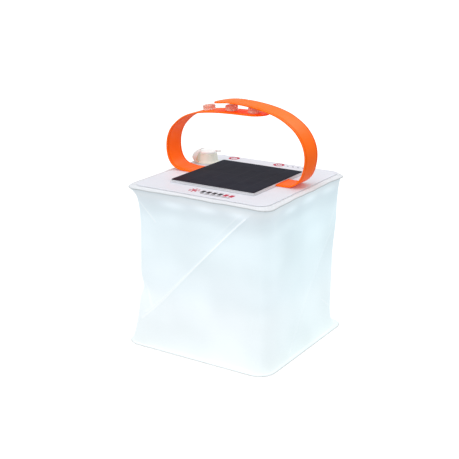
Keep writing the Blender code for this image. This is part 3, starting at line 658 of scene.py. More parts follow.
def clear_material(name, tint, transmission, roughness, **constants):
    """Clear soft plastic; only its tone, gloss and grain vary over it."""
    def paint(wire, socket):
        grain = wire.group(grain_group(), scale=500.0, drift_scale=120.0)
        darker = toned(tint, 0.93)
        wire.feed(socket["Base Color"], wire.mix(grain["Drift"], darker, tint))
        finish(wire, socket, roughness, 0.10, grain["Height"], 0.00005, 0.4)

    return material(name, paint, Transmission_Weight=transmission, IOR=1.46, **constants)


def tether_material():
    """Soft tether: milky at the cap, with a painted reflection of the strap's orange towards its foot,
    and a faint painted glow.
    """
    def paint(wire, socket):
        grain = wire.group(grain_group(), scale=500.0, drift_scale=120.0)
        _, along, _ = wire.split(wire.uv("Film"))
        # Painted reflection: the strap's orange spreads up from the tether's foot
        warm = wire.remap(along, 0.0, 0.55, 1.0, 0.0)
        milky = wire.mix(grain["Drift"], (0.86, 0.87, 0.86), (0.92, 0.92, 0.91))
        wire.feed(socket["Base Color"], wire.mix(warm, milky, (1.0, 0.50, 0.26)))
        finish(wire, socket, 0.32, 0.10, grain["Height"], 0.00005, 0.4)

    # Painted light: a faint glow on the tether
    return material("tether_plastic", paint, Transmission_Weight=0.15, IOR=1.46,
                    Emission_Color=(1.0, 0.93, 0.88, 1.0), Emission_Strength=0.08)


def board_material():
    """White solder mask with copper tracks showing as a raised, paler network."""
    def paint(wire, socket):
        x, y, _ = wire.split(wire.place())
        tracks = wire.math("PINGPONG", wire.math("ADD", x, wire.math("MULTIPLY", y, 0.5)), 0.0017)
        cells = wire.node("ShaderNodeTexVoronoi", feature="DISTANCE_TO_EDGE")
        wire.feed(cells.inputs["Vector"], wire.place())
        wire.feed(cells.inputs["Scale"], 90.0)
        edge = wire.remap(cells.outputs[0], 0.03, 0.06, 1.0, 0.0)
        track = wire.math("MULTIPLY", wire.remap(tracks, 0.0002, 0.0004, 1.0, 0.0), edge)
        wire.feed(socket["Base Color"], wire.mix(track, (0.80, 0.83, 0.82), (0.62, 0.66, 0.58)))
        finish(wire, socket, 0.45, 0.15, track, 0.00004, 0.8)

    return material("board_mask", paint)


def chip_material():
    """Lit chip: a warm phosphor square that fades to its white rim."""
    def paint(wire, socket):
        grain = wire.group(grain_group(), scale=900.0, drift_scale=300.0)
        wire.feed(socket["Base Color"], wire.mix(grain["Drift"], (0.95, 0.90, 0.62), (1, 1, 0.9)))
        wire.feed(socket["Emission Color"],
                  wire.mix(grain["Drift"], (0.95, 0.97, 1.0), (1.0, 1.0, 0.96)))

    return material("lit_chip", paint, Emission_Strength=6.0, Roughness=0.35)


# Meshes ---------------------------------------------------------------------


def add_mesh(name, verts, faces, surface, uv=None, uv_name="Film", sharp=40):
    """A smooth object from a mesh; uv gives a map place for a polygon and one of its vertices."""
    mesh = bpy.data.meshes.new(name)
    mesh.from_pydata([tuple(v) for v in verts], [], faces)
    mesh.validate()
    if uv is not None:
        layer = mesh.uv_layers.new(name=uv_name)
        for polygon in mesh.polygons:
            for loop in polygon.loop_indices:
                layer.data[loop].uv = uv(polygon, mesh.loops[loop].vertex_index)
    mesh.shade_smooth()
    mesh.set_sharp_from_angle(angle=math.radians(sharp))
    mesh.materials.append(surface)
    made = bpy.data.objects.new(name, mesh)
    bpy.context.scene.collection.objects.link(made)
    return made


def rounded_loop(half_x, half_y, radius, corner_steps=8, side_steps=(36, 36, 36, 36)):
    """Points round a rectangle with round corners, from the middle of its front left corner.

    Each point is (x, y, face, share): face 0 is the front, 1 the right, 2 the back, 3 the left,
    and share runs 0 to 1 from corner middle to corner middle.
    """
    points = []
    for face in range(4):
        turn = math.radians(90 * face)
        reach, wide = (half_y, half_x) if face % 2 == 0 else (half_x, half_y)
        flat = wide - radius
        turns = [45 * step / (corner_steps // 2) for step in range(corner_steps // 2)]
        local = [(-flat, -135 + angle) for angle in turns]
        local += [(-flat + 2 * flat * step / side_steps[face], -90)
                  for step in range(side_steps[face] + 1)]
        local += [(flat, -90 + angle) for angle in turns[1:]]
        for centre, angle in local:
            x = centre + radius * math.cos(math.radians(angle))
            y = -reach + radius + radius * math.sin(math.radians(angle))
            world_x = x * math.cos(turn) - y * math.sin(turn)
            world_y = x * math.sin(turn) + y * math.cos(turn)
            points.append((world_x, world_y, face, (x / wide + 1) / 2))
    return points


def bridge(count, rows, ends=False):
    """Quads between rows of count points each, and a face over both ends if asked."""
    faces = []
    for row in range(rows - 1):
        for point in range(count):
            after = (point + 1) % count
            faces.append((row * count + point, row * count + after,
                          (row + 1) * count + after, (row + 1) * count + point))
    if ends:
        faces.append(tuple(reversed(range(count))))
        faces.append(tuple(range((rows - 1) * count, rows * count)))
    return faces


def lathe(name, profile, surface, place, steps=64, sharp=35):
    """Turns (radius, height) points from foot to head round an axis, closed at r 0."""
    verts, rings, faces = [], [], []
    for radius, height in profile:
        if radius < 1e-7:
            rings.append([len(verts)])
            verts.append(Vector((0, 0, height)))
        else:
            start = len(verts)
            for step in range(steps):
                angle = math.tau * step / steps
                verts.append(Vector((radius * math.cos(angle), radius * math.sin(angle), height)))
            rings.append(list(range(start, start + steps)))
    pairs = list(zip(rings, rings[1:]))
    if len(rings[0]) > 1 and len(rings[-1]) > 1:
        pairs.append((rings[-1], rings[0]))
    for low, high in pairs:
        for step in range(steps):
            after = (step + 1) % steps
            if len(low) == 1:
                faces.append((low[0], high[after], high[step]))
            elif len(high) == 1:
                faces.append((low[step], low[after], high[0]))
            else:
                faces.append((low[step], low[after], high[after], high[step]))
    verts = [place @ vert for vert in verts]
    return add_mesh(name, verts, faces, surface, sharp=sharp)


def rounded_profile(points, radius=0.0003, steps=4):
    """The profile with its inner corners rounded by short arcs."""
    made = [points[0]]
    for before, here, after in zip(points, points[1:], points[2:]):
        a, h, b = Vector(before), Vector(here), Vector(after)
        first, second = (a - h), (b - h)
        cut = min(radius, first.length * 0.45, second.length * 0.45)
        if cut < 1e-6:
            made.append(here)
            continue
        start, end = h + first.normalized() * cut, h + second.normalized() * cut
        for step in range(steps + 1):
            t = step / steps
            point = start.lerp(h, t).lerp(h.lerp(end, t), t)
            made.append((max(point.x, 0.0), point.y))
    made.append(points[-1])
    return made


def applied(piece):
    """The piece with its modifiers applied to its mesh."""
    graph = bpy.context.evaluated_depsgraph_get()
    mesh = bpy.data.meshes.new_from_object(piece.evaluated_get(graph))
    old = piece.data
    piece.modifiers.clear()
    piece.data = mesh
    mesh.name = old.name
    bpy.data.meshes.remove(old)
    return piece


def pierce(piece, holes):
    """Cuts round upright holes, (x, y, radius) each, right through the piece."""
    bm = bmesh.new()
    for x, y, radius in holes:
        bmesh.ops.create_cone(
            bm, cap_ends=True, segments=48, radius1=radius, radius2=radius, depth=0.02,
            matrix=Matrix.Translation((x, y, TOP)),
        )
    mesh = bpy.data.meshes.new("hole_cutter")
    bm.to_mesh(mesh)
    bm.free()
    cutter = bpy.data.objects.new("hole_cutter", mesh)
    bpy.context.scene.collection.objects.link(cutter)
    modifier = piece.modifiers.new("holes", "BOOLEAN")
    modifier.operation = "DIFFERENCE"
    modifier.object = cutter
    bpy.context.view_layer.update()
    applied(piece)
    bpy.data.objects.remove(cutter)
    return piece


def dress(node, surface, bevel=0.0, segments=3):
    """Gives a CAD node its finish and, where it has hard edges, a small rounding."""
    piece = frame["nodes"][node]
    piece.data.materials.clear()
    piece.data.materials.append(surface)
    if bevel:
        rounding = piece.modifiers.new("edge_rounding", "BEVEL")
        rounding.width = bevel
        rounding.segments = segments
        rounding.limit_method = "ANGLE"
        rounding.angle_limit = math.radians(35)
    return piece


BUTTONS = ("power_button", "level_button")
BUTTON_RADIUS, INDICATOR_RADIUS = 0.0033, 0.0010
SPIGOT_SHARE = 0.456    # of the valve's flange
HOLE_PLAY = 0.0003


def middle_of(node):
    """Middle of a CAD node, seen from above."""
    low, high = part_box(node)
    return (low.x + high.x) / 2, (low.y + high.y) / 2


def top_holes(play):
    """Holes that the valve, buttons and indicators pass through in the top."""
    spigot = (VALVE_HIGH.x - VALVE_LOW.x) / 2 * SPIGOT_SHARE
    holes = [(*middle_of("valve_body"), spigot + play)]
    for node in BUTTONS:
        holes.append((*middle_of(node), BUTTON_RADIUS + play))
    for number in range(1, 5):
        holes.append((*middle_of(f"level_indicator_{number}"), INDICATOR_RADIUS + play))
    return holes


# Film body ------------------------------------------------------------------

CORNER = 0.015          # corner radius of the wall
FACE_WIDE = 0.151       # a face's width on the film's map
# Slanted fold of each face: height at its middle, slope, share of the full depth
FOLDS = (
    (0.0925, 1.03, 1.0), (0.0394, 1.22, 0.45), (0.0950, 1.02, 0.9), (0.0820, 1.08, 0.8),
)
# Short creases: face, start and end (across, height), depth
CREASES = (
    (0, (-0.067, 0.146), (-0.049, 0.128), 0.0007), (0, (-0.066, 0.064), (-0.053, 0.042), 0.0009),
    (0, (0.020, 0.1225), (0.050, 0.1525), 0.0003), (1, (0.064, 0.022), (0.045, 0.036), 0.0006),
    (1, (0.060, 0.128), (0.052, 0.112), 0.0004), (2, (-0.064, 0.060), (-0.050, 0.040), 0.0008),
    (3, (-0.060, 0.058), (-0.048, 0.038), 0.0008), (3, (0.050, 0.146), (0.064, 0.152), 0.0006),
)
LEVELS = 76             # rows of the wall's mesh
# The pale lines of the folds and creases are painted highlights
FOLD_LEFT, FOLD_RIGHT, FOLD_TOP = -0.063, 0.055, 0.149      # where a fold's pale line ends
FOLD_LINE, CREASE_LINE = 0.0013, 0.0011                     # half widths of the pale lines
DEEPEST_CREASE = 0.0012
FOLD_REACH = 0.016      # how far the film rises towards a fold
RIDGE, RIDGE_HALF = 0.0009, 0.0018
SLACK = 0.0004
BELLY = 0.0010
BACK_SWELL = 0.0032     # keeps the folded film clear of the tray behind the buttons
HEM = 0.0030            # sheet edge to the wall
TOP_FLARE, BASE_FLARE = 0.007, 0.012    # heights over which the wall widens to its hems
WAIST = 0.0728          # half size of the wall between its hems


def decay(distance, scale):
    """1 at or below no distance, falling off over the scale."""
    return math.exp(-max(distance, 0.0) / scale)


def left_corner_reach(z):
    """Diagonal reach of the left corner, which has a nick at about a third of its height."""
    return (0.0680 + 0.0065 * decay(0.158 - z, 0.009) + 0.008 * decay(z, 0.030)
            - 0.0020 * math.exp(-((z - 0.057) / 0.009) ** 2))


def right_corner_reach(z):
    """Diagonal reach of the right corner, a little fuller in its upper half."""
    swell = min(max((z - 0.075) / 0.05, 0.0), 1.0)
    swell = swell * swell * (3 - 2 * swell)
    return (0.0697 + 0.0018 * swell + 0.0029 * decay(0.160 - z, 0.012)
            + 0.0050 * decay(z, 0.005))


def face_half(z):
    """Half size of the wall at the middle of its faces."""
    top, base = TOP_HIGH.x - HEM, BASE_HIGH.x - HEM
    return (WAIST + (top - WAIST) * decay(WALL_HIGH.z - z, TOP_FLARE)
            + (base - WAIST) * decay(z - WALL_LOW.z, BASE_FLARE))


def corner_reach(index, z):
    """Reach of corner 0 front left, 1 front right, 2 back right, 3 back left."""
    left, right = left_corner_reach(z), right_corner_reach(z)
    return (left, (left + right) / 2, right, (left + right) / 2)[index]


def segment_distance(x, z, start, end):
    """Distance from a point of a face to a straight crease."""
    ax, az = start
    bx, bz = end
    run = (bx - ax) ** 2 + (bz - az) ** 2
    t = min(max(((x - ax) * (bx - ax) + (z - az) * (bz - az)) / run, 0.0), 1.0)
    return math.hypot(x - ax - t * (bx - ax), z - az - t * (bz - az))


def fold_side(face, x, z):
    """Distance from a face's slanted fold, above it positive, and how far along it fades."""
    middle, slope, _ = FOLDS[face]
    side = (z - middle - slope * x) / math.hypot(1, slope)
    fade = decay(abs(x) - 0.056, 0.010)
    fade *= min(1.0, max(0.0, (z - WALL_LOW.z) / 0.02), max(0.0, (WALL_HIGH.z - z) / 0.010))
    return side, fade


def wall_push(face, x, z, fold_depth):
    """How far the film stands out from its plain shape: fold, creases, slack and belly."""
    side, fade = fold_side(face, x, z)
    share = FOLDS[face][2]
    roof = math.exp(-abs(side) / FOLD_REACH) - 0.25
    ridge = RIDGE * max(0.0, 1 - abs(side) / RIDGE_HALF)
    slack = SLACK * math.sin(38 * x + 21 * z + face) * math.sin(31 * z - 17 * x + 2 * face)
    rise = min(max(z / WALL_HIGH.z, 0), 1)
    belly = BELLY * (1 - (x / 0.075) ** 2) * math.sin(math.pi * rise)
    push = (share * (fold_depth * roof + ridge) + slack + belly) * fade
    for where, start, end, depth in CREASES:
        if where == face:
            away = segment_distance(x, z, start, end)
            push += depth * (math.exp(-away / 0.0014) - 0.96 * math.exp(-((away / 0.007) ** 2)))
    if face == 2:
        clear = 1 - decay(WALL_HIGH.z - z, TOP_FLARE) - decay(z - WALL_LOW.z, BASE_FLARE)
        push += BACK_SWELL * max(0.0, clear) * min(1.0, max(0.0, (0.068 - abs(x)) / 0.012))
    return push


def wall_point(x, y, face, share, z, half, fold_depth):
    """Where the film stands: moved on to a near fold, pushed out or in, drawn to its corners."""
    across = (share * 2 - 1) * half
    normal = (Vector((0, -1, 0)), Vector((1, 0, 0)), Vector((0, 1, 0)), Vector((-1, 0, 0)))[face]
    side, _ = fold_side(face, across, z)
    slope = FOLDS[face][1]
    if abs(side) * math.hypot(1, slope) < 0.5 * (WALL_HIGH.z - WALL_LOW.z) / LEVELS:
        z -= side * math.hypot(1, slope)
    point = Vector((x, y, z)) + normal * wall_push(face, across, z, fold_depth)
    plain = half - CORNER * (1 - math.sqrt(0.5))
    for corner, (sx, sy) in enumerate(((-1, -1), (1, -1), (1, 1), (-1, 1))):
        away = math.hypot(x - sx * half, y - sy * half)
        pull = math.exp(-(away / 0.026) ** 2) * (corner_reach(corner, z) - plain) * 1.18
        point += Vector((sx, sy, 0)) * pull
    return point


def rim_drop(x, y, half):
    """Droop of the film rim: more at its corners, and a little uneven along its sides."""
    angle = math.atan2(y, x)
    corner = math.hypot(abs(x) - half, abs(y) - half)
    return (0.0009 * math.exp(-((corner / 0.020) ** 2)) + 0.00025 * math.sin(9 * angle + 1.0)
            + 0.00015 * math.sin(23 * angle))


def wall_columns():
    """Columns per face, so that each slanted fold runs along the quads' diagonals."""
    rise = (WALL_HIGH.z - WALL_LOW.z) / LEVELS
    return tuple(round((FACE_WIDE - 2 * CORNER) * slope / rise) for _, slope, _ in FOLDS)


def wall_film(settings, surface):
    """Side film with its slanted folds, turned out into a hem at the foot and the head."""
    foot, head = WALL_LOW.z + 0.0002, WALL_HIGH.z - 0.0003
    columns = wall_columns()
    verts, maps = [], []

    def add_row(loop, place):
        for x, y, face, share in loop:
            point = place(x, y, face, share)
            verts.append(point)
            maps.append((face + share, (point.z - foot) / (head - foot)))

    def hem(z, outer, corner, lift, drop, shares):
        inner = face_half(z)
        for out in shares:
            half = outer + (inner - outer) * out
            radius = corner + (CORNER - corner) * out
            loop = rounded_loop(half, half, radius, side_steps=columns)
            add_row(loop, lambda x, y, face, share: Vector(
                (x, y, z + lift * out ** 3 - drop * (1 - out) * rim_drop(x, y, outer))))

    hem(foot, BASE_HIGH.x - 0.0006, 0.0168, 0.0004, 0.0, (0.0, 0.45, 0.8))
    for level in range(LEVELS + 1):
        z = foot + 0.0006 + (head - foot - 0.0012) * level / LEVELS
        half = face_half(z)
        loop = rounded_loop(half, half, CORNER, side_steps=columns)
        add_row(loop, lambda x, y, face, share: wall_point(
            x, y, face, share, z, half, settings.fold_depth))
    hem(head, TOP_HIGH.x - 0.0010, 0.0134, -0.0004, 1.0, (0.8, 0.45, 0.0))
    count = len(rounded_loop(1, 1, 0.1, side_steps=columns))
    faces = []
    for low, after, above, side in bridge(count, len(verts) // count):
        faces += [(low, after, above), (low, above, side)]

    def uv(polygon, vertex):
        u, v = maps[vertex]
        others = [maps[index][0] for index in polygon.vertices]
        if max(others) - min(others) > 2 and u < 1:
            u += 4
        return u, v

    wall = add_mesh("wall_film", verts, faces, surface, uv)
    shell = wall.modifiers.new("film_thickness", "SOLIDIFY")
    shell.thickness = settings.thickness
    shell.offset = -1
    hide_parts("side_wall")
    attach(wall, "base")
    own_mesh(wall)
    return wall


def sheet_rings(name, rings, surface, outer=None):
    """Closed sheet from rounded square rings: (half side, corner radius, height, droop)."""
    verts, maps = [], []
    widest = max(half for half, *_ in rings)
    for half, corner, height, droop in rings:
        for x, y, face, share in rounded_loop(half, half, corner, 10, (40,) * 4):
            drop = droop * rim_drop(x, y, outer) if droop else 0
            verts.append(Vector((x, y, height - drop)))
            maps.append((face + min(share, 0.9999), half / widest))
    count = len(verts) // len(rings)
    faces = bridge(count, len(rings), ends=True)
    return add_mesh(name, verts, faces, surface, lambda polygon, vertex: maps[vertex])


def base_film(surface):
    """Bottom sheet with a rounded, slightly lifted weld edge."""
    half, corner = BASE_HIGH.x, 0.017
    low, high = BASE_LOW.z, BASE_HIGH.z
    rings = [
        (half - 0.020, corner - 0.008, low, 0), (half - 0.0008, corner - 0.0005, low, 0),
        (half - 0.0002, corner, low + 0.0002, 0), (half, corner, low + 0.0005, 0),
        (half - 0.0003, corner, high, 0), (half - 0.0030, corner - 0.001, high, 0),
        (half - 0.020, corner - 0.008, high, 0),
    ]
    piece = sheet_rings("base_film", rings, surface)
    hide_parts("bottom_sheet")
    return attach(piece, "base")


def top_film(surface):
    """Top sheet: a weld bead, then a lip that rolls down over the wall's hem."""
    half, corner = TOP_HIGH.x, 0.014
    low, high = TOP_LOW.z, TOP_HIGH.z
    rings = [
        (half - 0.030, 0.006, low, 0), (half - 0.0050, corner - 0.002, low, 0),
        (half - 0.0026, corner - 0.001, low - 0.0001, 0.4),
        (half - 0.0012, corner - 0.0004, low - 0.0007, 1.0),
        (half - 0.0004, corner, low - 0.0012, 1.0), (half, corner, low - 0.0010, 1.0),
        (half, corner, low - 0.0004, 1.0), (half - 0.0004, corner, high - 0.0008, 1.0),
        (half - 0.0012, corner - 0.0004, high - 0.0003, 0.8),
        (half - 0.0022, corner - 0.0009, high - 0.0001, 0.5),
        (half - 0.0030, corner - 0.0011, high + 0.0002, 0.1),
        (half - 0.0036, corner - 0.0014, high + 0.0006, 0),
        (half - 0.0042, corner - 0.0017, high + 0.0006, 0),
        (half - 0.0048, corner - 0.0019, high + 0.0001, 0),
        (half - 0.0060, corner - 0.002, high, 0), (half - 0.030, 0.006, high, 0),
    ]
    piece = sheet_rings("top_film", rings, surface, half)
    pierce(piece, top_holes(HOLE_PLAY))
    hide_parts("top_sheet")
    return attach(piece, "top_unit")


def printed_skin(surface):
    """Printed face with a thin rounded edge."""
    low, high = PRINT_LOW.z, PRINT_HIGH.z
    wide = (PRINT_HIGH.x - PRINT_LOW.x) / 2
    deep = (PRINT_HIGH.y - PRINT_LOW.y) / 2
    middle_y = (PRINT_HIGH.y + PRINT_LOW.y) / 2
    corner = 0.0105
    verts = []
    rings = (
        (0.030, 0.004, low), (0.0002, corner, low), (0.0, corner, low + 0.0001),
        (0.0003, corner, high - 0.00005), (0.0015, corner - 0.0006, high),
        (0.006, corner - 0.002, high), (0.030, 0.004, high),
    )
    for inset, radius, height in rings:
        for x, y, _, _ in rounded_loop(wide - inset, deep - inset, radius, 10, (30,) * 4):
            verts.append(Vector((x, y + middle_y, height)))
    count = len(verts) // len(rings)
    faces = bridge(count, len(rings), ends=True)
    piece = add_mesh("printed_skin", verts, faces, surface)
    pierce(piece, top_holes(HOLE_PLAY))
    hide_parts("printed_face")
    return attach(piece, "top_unit")


# Strap ----------------------------------------------------------------------

STRAP_THICK = 0.0013
STRAP_MIDDLE, STRAP_WIDE = (BAND_LOW.y + BAND_HIGH.y) / 2, BAND_HIGH.y - BAND_LOW.y
EDGE_LINE = 0.0021      # pressed line to the strap's edge
LAP_HEIGHT = 0.0644     # lower end above the top, where it carries the snaps


def curve_through(points, spacing):
    """Even points on a smooth curve through (x, z) points."""
    points = [Vector(point) for point in points]
    fine = []
    for index in range(len(points) - 1):
        before, here = points[max(index - 1, 0)], points[index]
        after, beyond = points[index + 1], points[min(index + 2, len(points) - 1)]
        for step in range(16):
            t = step / 16
            fine.append(0.5 * (2 * here + (after - before) * t
                               + (2 * before - 5 * here + 4 * after - beyond) * t * t
                               + (3 * here - 3 * after + beyond - before) * t ** 3))
    fine.append(points[-1])
    lengths = np.cumsum([0.0] + [(b - a).length for a, b in zip(fine, fine[1:])])
    count = max(3, round(lengths[-1] / spacing))
    wanted = np.linspace(0, lengths[-1], count + 1)
    xs = np.interp(wanted, lengths, [point.x for point in fine])
    zs = np.interp(wanted, lengths, [point.y for point in fine])
    return [Vector(pair) for pair in zip(xs, zs)]


def left_points():
    """Left side of the strap, from under the panel up over the shoulder to the lower tip."""
    thick = STRAP_THICK
    flat = BAND_LOW.z + thick / 2 - TOP
    reach = -(BAND_LOW.x + thick / 2)
    hinge = JOINTS["drop_strap"]["pos_m"]
    lap = LAP_HEIGHT
    return [
        (0.0, flat), (-0.030, flat), (CELL_LOW.x, flat), (-0.78 * reach, flat + 0.0004),
        (-0.900 * reach, 0.062 * lap), (-0.970 * reach, 0.163 * lap), (-reach, 0.310 * lap),
        (-0.993 * reach, 0.480 * lap), (-0.944 * reach, 0.636 * lap), (-0.855 * reach, 0.761 * lap),
        (hinge[0], hinge[2] - TOP), (-0.632 * reach, 0.919 * lap), (-0.482 * reach, 0.961 * lap),
        (-0.281 * reach, 0.988 * lap), (-0.06 * reach, 0.998 * lap), (0.0145, lap),
        (LAP_HIGH.x, lap + 0.0004),
    ]


def right_points():
    """Right side of the strap, from under the panel up and over to the upper tip."""
    thick = STRAP_THICK
    flat = BAND_LOW.z + thick / 2 - TOP
    reach = BAND_HIGH.x - thick / 2
    hinge = JOINTS["unclasp_strap"]["pos_m"]
    crown = CROWN_HIGH.z - thick / 2 - TOP
    return [
        (0.001, flat), (0.030, flat), (CELL_HIGH.x, flat), (0.72 * reach, flat),
        (0.812 * reach, 0.025 * crown), (0.892 * reach, 0.075 * crown),
        (0.949 * reach, 0.152 * crown), (0.986 * reach, 0.263 * crown), (reach, 0.392 * crown),
        (0.982 * reach, 0.514 * crown), (0.932 * reach, 0.628 * crown),
        (0.851 * reach, 0.733 * crown), (hinge[0], hinge[2] - TOP), (0.622 * reach, 0.884 * crown),
        (0.471 * reach, 0.934 * crown), (0.321 * reach, 0.966 * crown),
        (0.157 * reach, 0.988 * crown), (0.0, 0.999 * crown), (-0.131 * reach, crown),
        (-0.262 * reach, 0.986 * crown), (CROWN_LOW.x, 0.967 * crown),
    ]


def band_section(wide, thick, corner):
    """Cross section of the strap: round edges and a shallow pressed line near each edge."""
    half, rise = wide / 2, thick / 2
    corner = min(corner, rise * 0.9, half * 0.9)
    top = []
    for step in range(5):
        angle = math.radians(90 * step / 4)
        top.append((half - corner + corner * math.cos(angle), rise - corner + corner * math.sin(angle)))
    if half > 0.006:
        top += [(half - EDGE_LINE + 0.0005, rise), (half - EDGE_LINE, rise - 0.0002),
                (half - EDGE_LINE - 0.0005, rise)]
        top += [(half * share, rise) for share in (0.6, 0.3)]
    else:
        top += [(half * share, rise) for share in (0.75, 0.6, 0.5, 0.4, 0.2)]
    right = top + [(0.0, rise)]
    left = [(-x, z) for x, z in reversed(top)]
    upper = right + left
    lower = [(x, -z) for x, z in reversed(upper)]
    return upper + lower


def band(name, points, surface, settings):
    """Strap swept along its route, with a rounded tip at the far end."""
    route = curve_through(points, 0.0016)
    wide, thick = STRAP_WIDE, STRAP_THICK
    lengths = [0.0]
    for first, second in zip(route, route[1:]):
        lengths.append(lengths[-1] + (second - first).length)
    total = lengths[-1]
    tip = wide / 2
    stations = [s for s in lengths if s < total - tip]
    stations += [total - tip * (1 - math.sin(math.radians(angle))) for angle in range(0, 88, 4)]
    xs, zs = [p.x for p in route], [p.y for p in route]
    verts, maps = [], []
    for station in stations:
        point = Vector((np.interp(station, lengths, xs), np.interp(station, lengths, zs)))
        near = (station + 0.001, station - 0.001)
        ahead, behind = (Vector((np.interp(s, lengths, xs), np.interp(s, lengths, zs))) for s in near)
        direction = (ahead - behind).normalized()
        normal = Vector((-direction.y, direction.x))
        if normal.y < 0 and abs(direction.x) > 0.999:
            normal = -normal
        width = wide
        if station > total - tip:
            out = (station - total + tip) / tip
            width = max(2 * tip * math.sqrt(max(1 - out * out, 0.0)), 0.0012)
        for aside, up in band_section(width, thick, settings.corner):
            spot = point + normal * up
            verts.append(Vector((spot.x, STRAP_MIDDLE + aside, TOP + spot.y)))
            maps.append((aside, station))
    count = len(band_section(wide, thick, settings.corner))
    faces = bridge(count, len(stations), ends=True)
    piece = add_mesh(name, verts, faces, surface, lambda polygon, vertex: maps[vertex], "Strap")
    bm = bmesh.new()
    bm.from_mesh(piece.data)
    bmesh.ops.recalc_face_normals(bm, faces=bm.faces[:])
    bm.to_mesh(piece.data)
    bm.free()
    return piece


def strap_place(points, x):
    """Frame on the strap at x, with Z along its upward normal."""
    route = curve_through(points, 0.0005)
    best = min(range(1, len(route) - 1), key=lambda i: abs(route[i].x - x) + (route[i].y < 0.05))
    direction = route[best + 1] - route[best - 1]
    if direction.x < 0:
        direction = -direction
    tilt = -math.atan2(direction.y, direction.x)
    spot = Matrix.Translation((x, STRAP_MIDDLE, TOP + route[best].y))
    return spot @ Matrix.Rotation(tilt, 4, "Y")


# Operators ------------------------------------------------------------------


class LANTERN_OT_film_body(bpy.types.Operator):
    """Build the side film with its folds and the bottom sheet"""

    bl_idname = "lantern.film_body"
    bl_label = "Film Body"

    def execute(self, context):
        settings = context.scene.lantern_film
        tint = tuple(settings.tint)
        wall_film(settings, film_material("frosted_wall_film", tint, settings.glow, 0.5))
        # The last two colours are painted shade: the bottom rim's greyer edge and darker corner tips
        surface = rim_material("frosted_base_film", tuple(settings.rim_tint), (0.69, 0.72, 0.71),
                               (0.42, 0.45, 0.44))
        base_film(surface)
        return {"FINISHED"}


class LANTERN_OT_top(bpy.types.Operator):
    """Build the top sheet with its weld bead and the printed face"""

    bl_idname = "lantern.top"
    bl_label = "Top Sheet And Print"

    def execute(self, context):
        film = context.scene.lantern_film
        # The last two colours are painted shade: the top rim's greyer edge and darker corner tips
        surface = rim_material("frosted_rim_film", tuple(film.rim_tint), (0.53, 0.57, 0.585),
                               (0.44, 0.47, 0.49))
        top_film(surface)
        printed_skin(print_material(context.scene.lantern_top))
        return {"FINISHED"}


class LANTERN_OT_panel(bpy.types.Operator):
    """Finish the solar panel, its white board and its bonding pads"""

    bl_idname = "lantern.panel"
    bl_label = "Solar Panel"

    def execute(self, context):
        settings = context.scene.lantern_top
        dress("solar_cell_sheet", cell_material(settings), 0.00012)
        white = moulded_material("white_board_edge", (0.82, 0.82, 0.86), 0.45)
        dress("solar_panel_board", white, 0.0001)
        foam = moulded_material("bonding_foam", (0.78, 0.78, 0.80), 0.85, 0.0002)
        for node in ("panel_pad_front", "panel_pad_rear"):
            dress(node, foam, 0.0002)
        dress("panel_lead_1", moulded_material("red_lead_sleeve", (0.55, 0.03, 0.03), 0.45))
        dress("panel_lead_2", moulded_material("black_lead_sleeve", (0.02, 0.02, 0.022), 0.45))
        return {"FINISHED"}


class LANTERN_OT_strap(bpy.types.Operator):
    """Build both sides of the strap, each bending over its own shoulder"""

    bl_idname = "lantern.strap"
    bl_label = "Strap"

    def execute(self, context):
        settings = context.scene.lantern_strap
        surface = strap_material(settings)
        left = band("strap_left", left_points(), surface, settings)
        right = band("strap_right", right_points(), surface, settings)
        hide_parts("strap_band", "strap_lower_end")
        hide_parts("strap_upper_end")
        for piece, joint, body, outward in (
            (left, "drop_strap", "lower_strap", -1), (right, "unclasp_strap", "upper_strap", 1),
        ):
            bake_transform(piece)
        return {"FINISHED"}


CLEAR = 0.0001          # strap's face to a snap's flange
SOCKET_HEIGHT = 0.0053


class LANTERN_OT_snaps(bpy.types.Operator):
    """Build the clear snap sockets, rivets and studs"""

    bl_idname = "lantern.snaps"
    bl_label = "Snaps"

    def execute(self, context):
        # Painted light: a faint red glow, and a pink tint that partly stands for the strap's colour
        # seen through the clear plastic
        surface = clear_material("snap_plastic", (1.0, 0.70, 0.60), 0.65, 0.25,
                                 Emission_Color=(1.0, 0.40, 0.28, 1.0), Emission_Strength=0.05)
        half = STRAP_THICK / 2
        for number in range(1, 4):
            x = middle_of(f"snap_rivet_{number}")[0]
            place = strap_place(left_points(), x)
            foot, top = half + CLEAR, half + SOCKET_HEIGHT
            socket = [
                (0.0, foot), (0.0060, foot), (0.0065, foot + 0.0003), (0.0066, foot + 0.0009),
                (0.0061, foot + 0.0014), (0.0059, foot + 0.0020), (0.0062, foot + 0.0030),
                (0.0062, top - 0.0009), (0.0058, top - 0.0002), (0.0050, top), (0.0040, top),
                (0.0034, top - 0.0004), (0.0033, foot + 0.0028), (0.0030, foot + 0.0024),
                (0.0, foot + 0.0024),
            ]
            piece = lathe(f"socket_{number}", rounded_profile(socket, 0.0004), surface, place)
            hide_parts(f"snap_socket_{number}")
            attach(piece, "lower_strap")
            under = -half - CLEAR
            head = [(0.0, under - 0.0010), (0.0040, under - 0.0010), (0.0047, under - 0.0006),
                    (0.0048, under), (0.0, under)]
            piece = lathe(f"rivet_{number}", rounded_profile(head, 0.0003), surface, place)
            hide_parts(f"snap_rivet_{number}")
            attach(piece, "lower_strap")
        for number in range(1, 3):
            x = middle_of(f"snap_stud_{number}")[0]
            place = strap_place(right_points(), x)
            under = -half - CLEAR
            stud = [
                (0.0, under - 0.0034), (0.0018, under - 0.0034), (0.0024, under - 0.0028),
                (0.0024, under - 0.0022), (0.0021, under - 0.0010), (0.0040, under - 0.0009),
                (0.0042, under - 0.0006), (0.0042, under), (0.0, under),
            ]
            piece = lathe(f"stud_{number}", rounded_profile(stud, 0.0002), surface, place)
            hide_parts(f"snap_stud_{number}")
            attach(piece, "upper_strap")
        return {"FINISHED"}


